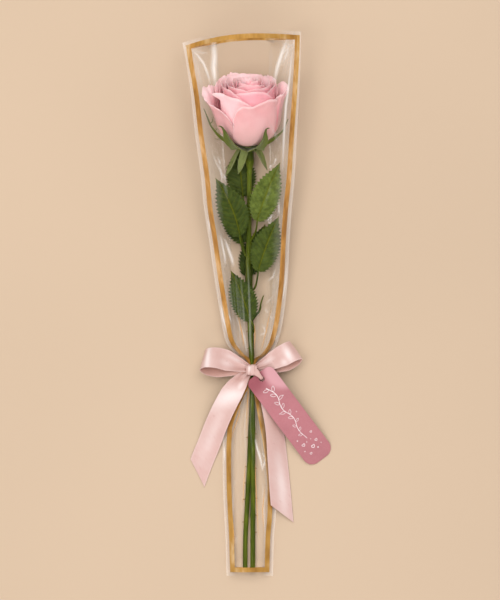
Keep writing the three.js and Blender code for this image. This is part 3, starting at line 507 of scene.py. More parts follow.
def face_outwards(thing, merge=None):
    """Turns a closed mesh's faces outwards, after joining points that lie within merge metres."""
    bpy.ops.object.select_all(action="DESELECT")
    bpy.context.view_layer.objects.active = thing
    thing.select_set(True)
    bpy.ops.object.mode_set(mode="EDIT")
    bpy.ops.mesh.select_all(action="SELECT")
    if merge:
        bpy.ops.mesh.remove_doubles(threshold=merge)
    bpy.ops.mesh.normals_make_consistent(inside=False)
    bpy.ops.object.mode_set(mode="OBJECT")
    thing.select_set(False)


def plain(thing):
    """Turns a piece's evaluated result into its plain mesh, with no modifier left."""
    solid, old = evaluated(thing), thing.data
    thing.modifiers.clear()
    thing.data = solid
    bpy.data.meshes.remove(old)
    return thing


def fit(thing, slot, *nodes):
    """Rides a piece on the part and hides the solids that it stands for."""
    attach(thing, "root")
    if nodes:
        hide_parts(*nodes)
    return thing


# ---------------------------------------------------------------- repeats by node trees

def add_node(tree, kind, inputs=(), **settings):
    """Adds a node with its settings; inputs are (socket, the value or the output that feeds it)."""
    node = tree.nodes.new(kind)
    for name, value in settings.items():
        setattr(node, name, value)
    for socket, value in inputs:
        if isinstance(value, bpy.types.NodeSocket):
            tree.links.new(value, node.inputs[socket])
        else:
            node.inputs[socket].default_value = value
    return node


def socket_of(tree, name):
    """The identifier of a tree's named input."""
    return next(item.identifier for item in tree.interface.items_tree
                if item.item_type == "SOCKET" and item.in_out == "INPUT" and item.name == name)


def new_tree(name, inputs):
    """A geometry tree with its named inputs, and its input and output nodes."""
    tree = bpy.data.node_groups.new(name, "GeometryNodeTree")
    tree.interface.new_socket("Geometry", in_out="INPUT", socket_type="NodeSocketGeometry")
    for label, kind, value in inputs:
        made = tree.interface.new_socket(label, in_out="INPUT", socket_type=kind)
        if value is not None:
            made.default_value = value
    tree.interface.new_socket("Geometry", in_out="OUTPUT", socket_type="NodeSocketGeometry")
    return tree, tree.nodes.new("NodeGroupInput"), tree.nodes.new("NodeGroupOutput")


def finish_tree(tree, source, start, end):
    """Realizes the instances, shades them smooth and gives them the finish."""
    real = add_node(tree, "GeometryNodeRealizeInstances", [("Geometry", source)])
    soft = add_node(tree, "GeometryNodeSetShadeSmooth", [("Geometry", real.outputs["Geometry"])])
    coat = add_node(tree, "GeometryNodeSetMaterial", [
        ("Geometry", soft.outputs["Geometry"]), ("Material", start.outputs["Finish"])])
    tree.links.new(coat.outputs["Geometry"], end.inputs["Geometry"])


def varied_size(tree, start, highest):
    """A random size for each copy, from 1 less the variation up to the highest."""
    lowest = add_node(tree, "ShaderNodeMath", [(0, 1), (1, start.outputs["Variation"])], operation="SUBTRACT")
    draw = add_node(tree, "FunctionNodeRandomValue", [
        (2, lowest.outputs[0]), (3, highest), ("Seed", start.outputs["Seed"])], data_type="FLOAT")
    return draw.outputs[1]


def pieces_on_points():
    """A tree that puts a copy of Piece on each point, turned by its way and up, scaled by its size."""
    tree, start, end = new_tree("pieces_on_points", [
        ("Piece", "NodeSocketObject", None), ("Variation", "NodeSocketFloat", 0.15),
        ("Seed", "NodeSocketInt", 0), ("Finish", "NodeSocketMaterial", None)])

    def read(name, kind):
        node = add_node(tree, "GeometryNodeInputNamedAttribute", [("Name", name)], data_type=kind)
        return node.outputs["Attribute"]

    info = add_node(tree, "GeometryNodeObjectInfo", [("Object", start.outputs["Piece"])])
    stand = add_node(tree, "FunctionNodeAlignRotationToVector", [
        ("Vector", read("up", "FLOAT_VECTOR"))], axis="Z")
    point = add_node(tree, "FunctionNodeAlignRotationToVector", [
        ("Rotation", stand.outputs["Rotation"]), ("Vector", read("way", "FLOAT_VECTOR"))],
        axis="X", pivot_axis="Z")
    high = add_node(tree, "ShaderNodeMath", [(0, 1), (1, start.outputs["Variation"])])
    size = add_node(tree, "ShaderNodeMath", [
        (0, varied_size(tree, start, high.outputs[0])), (1, read("size", "FLOAT"))], operation="MULTIPLY")
    place = add_node(tree, "GeometryNodeInstanceOnPoints", [
        ("Points", start.outputs["Geometry"]), ("Instance", info.outputs["Geometry"]),
        ("Rotation", point.outputs["Rotation"]), ("Scale", size.outputs[0])])
    finish_tree(tree, place.outputs["Instances"], start, end)
    return tree


def beads_along_edges():
    """A tree that sets small beads at an even spacing along edges, as a woven edge's loops are."""
    tree, start, end = new_tree("beads_along_edges", [
        ("Spacing", "NodeSocketFloat", 0.001), ("Radius", "NodeSocketFloat", 0.0003),
        ("Variation", "NodeSocketFloat", 0.2), ("Seed", "NodeSocketInt", 0),
        ("Finish", "NodeSocketMaterial", None)])
    line = add_node(tree, "GeometryNodeMeshToCurve", [("Mesh", start.outputs["Geometry"])])
    even = add_node(tree, "GeometryNodeResampleCurve", [
        ("Curve", line.outputs["Curve"]), ("Length", start.outputs["Spacing"])], mode="LENGTH")
    bead = add_node(tree, "GeometryNodeMeshIcoSphere", [
        ("Subdivisions", 1), ("Radius", start.outputs["Radius"])])
    place = add_node(tree, "GeometryNodeInstanceOnPoints", [
        ("Points", even.outputs["Curve"]), ("Instance", bead.outputs["Mesh"]),
        ("Scale", varied_size(tree, start, 1))])
    finish_tree(tree, place.outputs["Instances"], start, end)
    return tree


def grown(name, mesh, tree, **values):
    """A plain piece made by a node tree from a mesh of points or edges."""
    thing = placed(name, mesh)
    grow = thing.modifiers.new("grow", "NODES")
    grow.node_group = tree
    for label, value in values.items():
        grow[socket_of(tree, label.replace("_", " "))] = value
    return plain(thing)


def points_mesh(name, rows):
    """Points with their way, up and size, from rows of (place mm, way, up, size)."""
    mesh = bpy.data.meshes.new(name)
    mesh.from_pydata([tuple(Vector(p) * MM) for p, _, _, _ in rows], [], [])
    for key, column in (("way", 1), ("up", 2)):
        flat = [c for row in rows for c in Vector(row[column])]
        mesh.attributes.new(key, "FLOAT_VECTOR", "POINT").data.foreach_set("vector", flat)
    mesh.attributes.new("size", "FLOAT", "POINT").data.foreach_set("value", [row[3] for row in rows])
    return mesh


def pattern(shape, name):
    """A small piece in its real size at the origin, which a tree copies."""
    mesh = bpy.data.meshes.new(name)
    mesh.from_pydata([(x * MM, y * MM, z * MM) for x, y, z in shape.points], [], shape.faces)
    return placed(name, mesh)


# ---------------------------------------------------------------- finishes

SHADER_SOCKETS = {
    "rough": "Roughness", "sheen": "Sheen Weight", "sheen_rough": "Sheen Roughness", "coat": "Coat Weight",
    "coat_rough": "Coat Roughness", "metal": "Metallic", "specular": "Specular IOR Level",
    "anisotropy": "Anisotropic", "subsurface": "Subsurface Weight", "subsurface_scale": "Subsurface Scale",
    "subsurface_radius": "Subsurface Radius", "colour": "Base Color", "normal": "Normal",
}


class Finish:
    """A material's node tree, written from a few plain calls."""

    def __init__(self, name):
        self.material = bpy.data.materials.new(name)
        self.material.use_nodes = True
        self.tree = self.material.node_tree
        self.shader = self.tree.nodes["Principled BSDF"]

    def node(self, kind, inputs=(), **settings):
        return add_node(self.tree, kind, inputs, **settings)

    def set(self, **values):
        """Gives the shader numbers of its own, or feeds its sockets from other nodes."""
        for key, value in values.items():
            socket = self.shader.inputs[SHADER_SOCKETS[key]]
            if isinstance(value, bpy.types.NodeSocket):
                self.tree.links.new(value, socket)
            else:
                socket.default_value = value

    def read(self, name):
        return self.node("ShaderNodeAttribute", attribute_name=name).outputs["Fac"]

    def coordinates(self, kind="Object"):
        return self.node("ShaderNodeTexCoord").outputs[kind]

    def scaled(self, source, scale):
        return self.node("ShaderNodeMapping", [("Vector", source), ("Scale", scale)]).outputs["Vector"]

    def noise(self, source, scale, detail=3, rough=0.5, distortion=0.0):
        return self.node("ShaderNodeTexNoise", [
            ("Vector", source), ("Scale", scale), ("Detail", detail), ("Roughness", rough),
            ("Distortion", distortion)]).outputs["Fac"]

    def ramp(self, source, low, high, a=0.0, b=1.0):
        """Smoothly from a to b as the source goes from low to high."""
        return self.node("ShaderNodeMapRange", [
            ("Value", source), ("From Min", low), ("From Max", high), ("To Min", a), ("To Max", b)],
            interpolation_type="SMOOTHSTEP").outputs["Result"]

    def math(self, operation, a, b):
        return self.node("ShaderNodeMath", [(0, a), (1, b)], operation=operation).outputs[0]

    def mix(self, share, a, b):
        """From colour a to colour b by the share."""
        colours = [value if isinstance(value, bpy.types.NodeSocket) else (*value, 1) for value in (a, b)]
        return self.node("ShaderNodeMix", [(0, share), (6, colours[0]), (7, colours[1])],
                         data_type="RGBA").outputs[2]

    def ball(self, middle, radius):
        """Fades from 1 at a point of the piece to 0 at a radius from it, in metres."""
        place = self.node("ShaderNodeMapping", [
            ("Vector", self.coordinates()), ("Location", middle), ("Scale", (radius, radius, radius))],
            vector_type="TEXTURE")
        return self.node("ShaderNodeTexGradient", [("Vector", place.outputs["Vector"])],
                         gradient_type="SPHERICAL").outputs["Fac"]

    def bump(self, height, strength, distance):
        """Gives the shader a bump from the height, and returns its normal."""
        normal = self.node("ShaderNodeBump", [
            ("Height", height), ("Strength", strength), ("Distance", distance)]).outputs["Normal"]
        self.set(normal=normal)
        return normal


def darker(colour, share):
    return tuple(c * share for c in colour)


def petal_finish(s):
    f = Finish("rose_petal")
    along, inside, depth, rim = f.read("down"), f.read("inside"), f.read("depth"), f.read("rim")
    streaks = f.noise(f.scaled(f.coordinates("UV"), (26, 2.2, 1)), 1.6, 3, 0.6)
    patches = f.noise(f.coordinates(), 90, 2)
    pale = f.mix(f.ramp(patches, 0.3, 0.7), tuple(s.outer), (0.69, 0.34, 0.345))
    lower = f.mix(f.ramp(along, 0.04, 0.4), (0.50, 0.285, 0.165), (0.70, 0.39, 0.38))
    base = f.mix(f.ramp(along, 0.4, 0.9), lower, pale)
    # Painted highlight: a petal with a light share gets a lighter copy of its colour, standing in for the
    # light that falls on it.
    lighter = f.mix(f.read("light"), base, (0.96, 0.60, 0.63))
    # Painted shadow: a deep pink streak where the edge of the petal in front casts its shade.
    flushed = f.mix(f.ramp(f.read("blush"), 0.1, 1.0, 0.0, 0.7), lighter, (0.80, 0.25, 0.30))
    ringed = f.mix(f.ramp(depth, 0.0, 0.14, 0.0, 0.92), flushed, (0.98, 0.47, 0.53))
    deep = f.mix(f.ramp(along, 0.5, 0.98), (0.99, 0.42, 0.49), tuple(s.inner))
    deep = f.mix(f.ramp(depth, 0.0, 0.3, 0.0, 0.55), deep, (0.99, 0.76, 0.79))
    faced = f.mix(inside, ringed, deep)
    veined = f.mix(f.ramp(streaks, 0.4, 0.8, 0.0, 0.2), faced, (0.80, 0.38, 0.41))
    edged = f.mix(f.ramp(rim, 0.3, 1.0, 0.0, 0.55), veined, (0.90, 0.66, 0.67))
    f.set(colour=edged)
    f.set(rough=f.ramp(patches, 0.2, 0.8, 0.5, 0.62))
    f.bump(f.math("ADD", streaks, f.math("MULTIPLY", f.noise(f.coordinates(), 900, 2), 0.35)), 0.16, 0.0006)
    f.set(subsurface=0.25, subsurface_scale=0.003, subsurface_radius=(1.0, 0.55, 0.6), sheen=0.12,
          sheen_rough=0.5, specular=0.25)
    return f.material


def leaf_finish(s):
    f = Finish("rose_leaf")
    vein, side, tone = f.read("vein"), f.read("side"), f.read("tone")
    mottle = f.noise(f.coordinates(), 260, 4, 0.6)
    # Painted light: lit leaves get a lighter green and shaded ones keep the darker blade colour.
    blade = f.mix(tone, tuple(s.blade), (0.135, 0.18, 0.034))
    shaded = f.mix(f.ramp(mottle, 0.3, 0.72), blade, f.mix(0.6, blade, (0.009, 0.016, 0.002)))
    under = f.mix(side, shaded, (0.055, 0.09, 0.033))
    f.set(colour=f.mix(f.math("MULTIPLY", vein, 0.62), under, tuple(s.vein)))
    f.set(rough=f.ramp(mottle, 0.2, 0.8, 0.38, 0.52))
    f.bump(f.math("ADD", f.noise(f.coordinates(), 1500, 3, 0.6), mottle), 0.22, 0.0005)
    f.set(specular=0.2)
    return f.material


def stem_finish(s):
    f = Finish("rose_stem_skin")
    grain = f.noise(f.scaled(f.coordinates(), (900, 60, 900)), 1.0, 4, 0.6)
    patches = f.noise(f.scaled(f.coordinates(), (120, 30, 120)), 1.0, 2)
    green = f.mix(f.ramp(patches, 0.35, 0.65), tuple(s.stem), (0.095, 0.12, 0.006))
    lined = f.mix(f.ramp(grain, 0.4, 0.7, 0.0, 0.6), green, (0.026, 0.044, 0.004))
    # Painted light: a lighter patch round the node below the hip, where light falls on the stem. The stem is
    # darker round the hip itself.
    neck = f.ramp(f.ball((-0.0068, 0.103, 0.011), 0.016), 0.0, 0.5, 0.0, 0.75)
    hip = f.ramp(f.ball((-0.0075, 0.129, 0.018), 0.012), 0.0, 0.4, 0.0, 0.7)
    f.set(colour=f.mix(hip, f.mix(neck, lined, (0.12, 0.155, 0.014)), (0.022, 0.034, 0.002)))
    f.set(rough=f.ramp(grain, 0.2, 0.8, 0.34, 0.5))
    f.bump(grain, 0.3, 0.0004)
    f.set(specular=0.25)
    return f.material


def sepal_finish():
    f = Finish("rose_sepal")
    fibres = f.noise(f.scaled(f.coordinates("UV"), (14, 2, 1)), 2.0, 3, 0.6)
    base = f.mix(f.read("down"), (0.15, 0.185, 0.011), (0.075, 0.092, 0.008))
    base = f.mix(f.read("pale"), base, (0.205, 0.24, 0.075))
    f.set(colour=f.mix(f.ramp(fibres, 0.35, 0.7, 0.0, 0.6), base, (0.055, 0.08, 0.012)))
    f.set(rough=f.ramp(fibres, 0.2, 0.8, 0.42, 0.56))
    f.bump(fibres, 0.3, 0.0006)
    f.set(sheen=0.2, specular=0.35)
    return f.material


def prickle_finish():
    f = Finish("rose_prickle")
    grain = f.noise(f.coordinates(), 1200, 2)
    f.set(colour=f.mix(f.ramp(grain, 0.35, 0.65), (0.27, 0.11, 0.05), (0.17, 0.16, 0.04)))
    f.bump(grain, 0.2, 0.0003)
    f.set(rough=0.5)
    return f.material


def film_finish():
    """Clear film, with painted highlights drawn in white along its creases, gathers and sides, thin
    gold-tinted streaks where it gathers, and a mirror's glance.
    """
    f = Finish("clear_film")
    f.set(rough=0.3, specular=0.6)
    outside, haze, gilt = f.read("outside"), f.read("haze"), f.read("gilt")
    f.set(colour=f.mix(f.ramp(gilt, 0.1, 0.5), (0.97, 0.95, 0.94), (0.72, 0.36, 0.11)))
    veil = f.noise(f.scaled(f.coordinates(), (60, 16, 60)), 1.0, 3, 0.55)
    normal = f.bump(f.noise(f.scaled(f.coordinates(), (1, 0.3, 1)), 240, 3, 0.5, 0.4), 0.3, 0.0008)
    shine = f.node("ShaderNodeBsdfPrincipled", [
        ("Base Color", (0.98, 0.98, 0.98, 1)), ("Metallic", 1.0), ("Roughness", 0.11), ("Normal", normal)])
    clear = f.node("ShaderNodeBsdfTransparent")
    facing = f.node("ShaderNodeFresnel", [("IOR", 1.5)])
    # Painted highlight: white mixed into the film along its creases and sides, with a faint noisy veil, in
    # place of the light they reflect.
    white = f.math("ADD", f.math("MULTIPLY", haze, 0.72), f.ramp(veil, 0.5, 0.8, 0.0, 0.025))
    white = f.math("MAXIMUM", f.math("SUBTRACT", white, 0.03), 0.0)
    white = f.math("MAXIMUM", white, f.ramp(gilt, 0.3, 0.9, 0.0, 0.5))
    glance = f.math("MAXIMUM", f.math("MULTIPLY", f.math("SUBTRACT", facing.outputs[0], 0.048), 0.6), 0.0)
    below = f.node("ShaderNodeMixShader", [
        (0, f.math("MULTIPLY", white, outside)), (1, clear.outputs[0]), (2, f.shader.outputs[0])])
    above = f.node("ShaderNodeMixShader", [
        (0, f.math("MULTIPLY", f.math("MINIMUM", glance, 0.16), outside)), (1, below.outputs[0]),
        (2, shine.outputs[0])])
    f.tree.links.new(above.outputs[0], f.tree.nodes["Material Output"].inputs["Surface"])
    return f.material


def gold_finish(s):
    f = Finish("gold_border")
    # Painted light on the foil: noisy bands of darker and lighter gold stand in for its changing reflections.
    bands = f.noise(f.scaled(f.coordinates(), (60, 26, 60)), 1.0, 3, 0.6)
    brush = f.noise(f.scaled(f.coordinates(), (500, 60, 500)), 1.0, 2)
    dull = f.mix(f.ramp(bands, 0.32, 0.52), (0.42, 0.20, 0.04), tuple(s.gold))
    lit = f.mix(f.ramp(bands, 0.5, 0.66), dull, (0.88, 0.60, 0.30))
    f.set(colour=f.mix(f.ramp(brush, 0.35, 0.7, 0.0, 0.25), lit, (0.42, 0.20, 0.04)))
    f.set(rough=f.ramp(bands, 0.3, 0.7, 0.4, 0.3))
    f.bump(f.noise(f.coordinates(), 420, 3), 0.12, 0.0004)
    f.set(metal=0.6)
    return f.material


def satin_finish(s):
    f = Finish("satin_ribbon")
    weave = f.coordinates("UV")
    threads = f.node("ShaderNodeTexWave", [("Vector", weave), ("Scale", 14.0), ("Distortion", 0.6)],
                     bands_direction="X").outputs["Fac"]
    slubs = f.noise(f.scaled(weave, (3, 30, 1)), 1.2, 3, 0.6)
    drift = f.noise(f.coordinates(), 70, 2)
    uneven = f.math("ADD", f.math("MULTIPLY", slubs, 0.5), f.math("MULTIPLY", drift, 0.5))
    body = f.mix(f.ramp(uneven, 0.35, 0.65), tuple(s.satin), (0.59, 0.41, 0.38))
    faced = f.mix(f.read("inner"), body, (0.56, 0.325, 0.275))
    shaded = f.mix(f.read("dim"), faced, (0.42, 0.22, 0.185))
    lined = f.mix(f.math("MULTIPLY", threads, 0.07), shaded, (0.41, 0.20, 0.19))
    # Painted highlight: soft bands of near-white satin where light would glint off it.
    shone = f.mix(f.math("MULTIPLY", f.read("lustre"), 0.9), lined, (0.80, 0.71, 0.70))
    bound = f.math("MULTIPLY", f.ramp(f.read("edge"), 0.88, 0.97), 0.35)
    f.set(colour=f.mix(bound, shone, (0.68, 0.53, 0.51)))
    f.set(rough=f.ramp(slubs, 0.3, 0.7, 0.27, 0.36))
    f.bump(f.math("ADD", f.math("MULTIPLY", threads, 0.5), slubs), 0.1, 0.0003)
    f.set(anisotropy=0.5, specular=0.6, coat=0.25, coat_rough=0.28)
    return f.material


def card_finish(s):
    f = Finish("tag_card")
    fibre = f.noise(f.coordinates(), 700, 5, 0.65)
    blotch = f.noise(f.coordinates(), 60, 2)
    base = f.mix(f.ramp(blotch, 0.3, 0.7), tuple(s.card), darker(tuple(s.card), 1.1))
    grained = f.mix(f.ramp(fibre, 0.3, 0.7, 0.0, 0.2), base, (0.49, 0.245, 0.27))
    # Painted shadow of the bow on the card near the knot, and a painted pool of light at the card's top
    # corner.
    near_knot = f.ramp(f.ball((-0.006, -0.064, 0.018), 0.022), 0.1, 0.75, 0.0, 0.75)
    corner = f.ramp(f.ball((0.021, -0.055, 0.018), 0.021), 0.08, 0.4, 0.0, 0.8)
    f.set(colour=f.mix(corner, f.mix(near_knot, grained, (0.24, 0.056, 0.075)), (0.59, 0.32, 0.35)))
    f.set(rough=f.ramp(fibre, 0.2, 0.8, 0.62, 0.76))
    f.bump(fibre, 0.18, 0.0003)
    f.set(specular=0.3)
    return f.material


def ink_finish(s):
    f = Finish("tag_print")
    wear = f.noise(f.coordinates(), 1800, 3, 0.6)
    f.set(colour=f.mix(f.ramp(wear, 0.55, 0.75, 0.0, 0.35), tuple(s.ink), (0.55, 0.33, 0.34)))
    f.bump(wear, 0.1, 0.0002)
    f.set(rough=0.55)
    return f.material


def floor_finish(s):
    f = Finish("pale_floor")
    cloud = f.noise(f.coordinates(), 2.2, 2)
    f.set(colour=f.mix(f.ramp(cloud, 0.3, 0.7, 0.0, 1.0), tuple(s.floor), darker(tuple(s.floor), 1.05)))
    f.bump(f.noise(f.coordinates(), 900, 3), 0.05, 0.0004)
    f.set(rough=0.75, specular=0.2)
    return f.material


# ---------------------------------------------------------------- bloom

def in_bloom(height, radius, degrees):
    """A point of the flower from its height up the flower's axis, its distance from it and its turn."""
    turn = math.radians(degrees)
    side, up = radius * math.sin(turn), radius * math.cos(turn)
    cos, sin = math.cos(BLOOM_LEAN), math.sin(BLOOM_LEAN)
    return BLOOM_BASE + Vector((side, height * cos - up * sin, height * sin + up * cos))


def petal(shape, p, along, across, thick, depth):
    """Adds one petal: a round bowl, then a rim that follows its own rows, rolled out at the lip."""
    draw = random.Random(round(p["turn"] * 7 + p["radius"] * 13))
    phases = [draw.uniform(0, 6.28) for _ in range(4)]
    rims = [(float(table(p["rim"], -1 + 2 * j / across, 1)), float(table(p["rim"], -1 + 2 * j / across, 2)))
            for j in range(across + 1)]
    roll, ripple, frill = p.get("roll", 0.5), p.get("ripple", 0.45), p.get("frill", 0)

    def at(s, over):
        t = 2 * over - 1
        rim, flare = rims[round(over * across)]
        rim += ripple * 0.6 * (math.sin(4 * t + phases[0]) + 0.4 * math.sin(13 * t + phases[1]))
        rim += (frill * math.exp(-((t - p.get("frill_at", 0)) / 0.4) ** 2)
                * math.sin(31 * t + 2 * math.sin(9 * t)))
        bowl_end = math.acos(1 - min((rim - p["foot"]) / p["bowl"], 1))
        bowl_length = (p["radius"] + p["bowl"]) / 2 * bowl_end
        travel = s * (bowl_length + max(rim - p["foot"] - p["bowl"], 0))
        angle = bowl_end * min(travel / bowl_length, 1)
        lip = smooth(s, 0.84, 1.0)
        height = (p["foot"] + p["bowl"] * (1 - math.cos(angle)) + max(travel - bowl_length, 0)
                  - 0.5 * roll * lip ** 2)
        opened = PETAL_FOOT + (p["radius"] - PETAL_FOOT) * math.sin(angle)
        wave = 0.5 * smooth(s, 0.35, 1) * math.sin(3.4 * t + phases[2] + 2 * s)
        wave += 0.22 * smooth(s, 0.7, 1) * math.sin(11 * t + phases[3])
        out = (opened + flare * smooth(s, 0.55, 1.45) * 2 + p["skew"] * t * math.sin(angle) + roll * lip ** 2
               + wave * ripple)
        out += p.get("lap", 0) * smooth(t, 0.7, 1) * smooth(s, 0.1, 0.5)
        out += p.get("curl", 0) * smooth(-t, 0.72, 1) * smooth(s, 0.86, 1)
        half = p["half"] * (0.3 + 0.7 * smooth(s, 0, 0.55))
        spread = min(math.degrees(half / opened), 80)
        return in_bloom(height, out, p["turn"] + spread * t)

    def edge(s, over):
        return max(smooth(s, 0.93, 1.0), smooth(abs(2 * over - 1), 0.96, 1.0) * smooth(s, 0.5, 0.8))

    def taper(s, over):
        return thick * (1 - 0.5 * edge(s, over))

    def blush(s, over):
        """A painted shadow streak up the petal, cast by the edge of the petal in front, where it has one."""
        if "flush" not in p:
            return 0.0
        streak = math.exp(-((2 * over - 1 - p["flush"]) / 0.075) ** 2)
        return streak * smooth(s, 0.1, 0.35) * (1 - smooth(s, 0.75, 0.95))

    # The light share paints a highlight on the petal, and the streak paints the shadow cast by the edge of
    # the petal in front.
    shape.sheet(at, along, across, taper, {
        "rim": edge, "depth": depth, "blush": blush, "light": p.get("light", 0)})


def petal_rows(height, flare, drop):
    return [(t, height - drop * abs(t) ** 3, flare) for t in (-1, -0.75, -0.5, -0.25, 0, 0.25, 0.5, 0.75, 1)]


class WRAPPED_ROSE_OT_bloom(bpy.types.Operator):
    """Make the flower, petal by petal, outer ones and rings"""
    bl_idname = "wrapped_rose.bloom"
    bl_label = "Make bloom"

    def execute(self, context):
        s = context.scene.rose_bloom
        finish = petal_finish(s)
        outer, inner = Shape(), Shape()
        for p in OUTER_PETALS:
            petal(outer, p, 34, 44, s.thickness, 0.0)
        for level, ring in enumerate(RINGS):
            draw = random.Random(40 + level)
            for turn in ring["turns"]:
                p = dict(ring, turn=turn, skew=RING_SKEW, roll=1.3, ripple=1.0,
                         rim=petal_rows(
                             ring["height"] + draw.uniform(-0.7, 0.6), ring["flare"], ring["drop"]))
                petal(inner, p, 26, 26, s.thickness, (level + 1) / len(RINGS))
        core = [(0.4, 0), (0.4, 3.6), (3, 6.5), (9, 4.2), (30, 3.2), (52, 2.6), (55, 1.2), (55.4, 0)]
        inner.lathe(core, 20, in_bloom, {"side": 0.0, "depth": 1.0, "down": 0.8})
        for shape in (outer, inner):
            shape.marks["inside"] = list(shape.marks["side"])
        fit(outer.object("bloom_outer_petals", finish), "petals", "bloom")
        fit(inner.object("bloom_inner_petals", finish), "petals")
        return {"FINISHED"}


# ---------------------------------------------------------------- stems and leaves

def leaf(shape, p, thick):
    """Adds a leaf with a toothed edge, a sunk midrib and raised quilting between its veins."""
    base, tip = Vector(p["base"]), Vector(p["tip"])
    length = tip - base
    along = length.normalized()
    side = along.cross(Vector((0, 0, 1))).normalized()
    side.rotate(Quaternion(along, math.radians(p["roll"])))
    up = side.cross(along).normalized()
    draw = random.Random(round(base.x * 31 + base.y * 17))
    lean = draw.uniform(-0.6, 0.6)

    def vein_phase(u, t):
        return (u - 0.17 * abs(t) ** 1.15) * 11 + (0.5 if t > 0 else 0)

    def half_at(u):
        tooth = (u * LEAF_TEETH) % 1
        full = max(math.sin(math.pi * (0.03 + 0.97 * u) ** 0.8), 0) ** (0.75 + 0.5 * u * u)
        return max(p["half"] * full + (2.6 * tooth - 1.3) * min(1, 5 * (1 - u)) * min(1, 3 * full), 0.12)

    def at(u, v):
        t = 2 * v - 1
        half = half_at(u)
        across = half * t + p["bow"] * 4 * u * (1 - u)
        quilt = 0.34 * abs(math.sin(math.pi * vein_phase(u, t))) * min(1, 4 * abs(t)) * (1 - abs(t) ** 6)
        groove = -0.55 * math.exp(-((half * t) / 0.7) ** 2)
        lift = (p["arch"] * 4 * u * (1 - u) + p["fold"] * abs(t) * half
                + (quilt + groove) * min(1, 6 * (1 - u) + 0.1))
        lift += lean * math.sin(5 * u) * t * t
        return base + length * u + side * across + up * lift

    def vein(u, v):
        t = 2 * v - 1
        middle = math.exp(-((half_at(u) * t) / 0.42) ** 2)
        gap = abs((vein_phase(u, t) + 0.5) % 1 - 0.5)
        return min(1.0, middle + 0.5 * math.exp(-(gap / 0.055) ** 2) * smooth(1 - abs(t), 0.02, 0.3))

    shape.sheet(at, 6 * LEAF_TEETH, 26, thick, {"vein": vein, "tone": p["tone"]})


def sepal(shape, p):
    """Adds a sepal, keeled along its middle, with small side lobes where it has them."""
    middle = Path([in_bloom(*q) for q in p["line"]])

    def at(u, v):
        t = 2 * v - 1
        point, ahead = middle.at(u), middle.ahead(u)
        outward = (point - in_bloom(0, 0, 0)).normalized()
        side = ahead.cross(outward).normalized()
        side.rotate(Quaternion(ahead, math.radians(p["face"] * smooth(u, 0.08, 0.3))))
        face = side.cross(ahead).normalized()
        half = p["half"] * max(math.sin(math.pi * min(0.3 + 0.7 * u ** 1.15, 1)), 0) ** 0.75
        half = max(half * (1 - 0.5 * smooth(u, p["slim"], p["slim"] + 0.3)), 0.3)
        half += p.get("flared", 0) * math.exp(-((u - 0.24) / 0.11) ** 2)
        half += 0.18 * math.sin(26 * u) * smooth(u, 0.3, 0.6) * (1 - u)
        return point + side * (half * t) + face * (0.35 * half * t * t)

    shape.sheet(at, 30, 8, 0.55, {"pale": p.get("pale", 0)})
    if p["side"]:
        for share, way, size in ((0.42, -1, 5.6), (0.72, 1, 5.6), (0.56, 1, 3.4)):
            root, ahead = middle.at(share), middle.ahead(share)
            side = ahead.cross(Vector((0, 0, 1))).normalized() * way
            line = [root - side * 0.3, root + side * 0.45 * size + ahead * 0.2 * size,
                    root + side * 0.7 * size + ahead * size * 0.75]
            shape.tube(Path(line, 6), lambda share: 0.5 * (1 - 0.7 * share), 8, 6, 1.0,
                       {"down": 0.9, "side": 1.0})


def stem_radius(base, nodes):
    """A stem's radius along its share: nearly even, a little ribbed, swollen at its nodes."""
    def radius(share, turn):
        swell = sum(0.28 * math.exp(-((share - n) / 0.006) ** 2) for n in nodes)
        return base + swell + 0.05 * math.sin(3 * turn + 40 * share)
    return radius


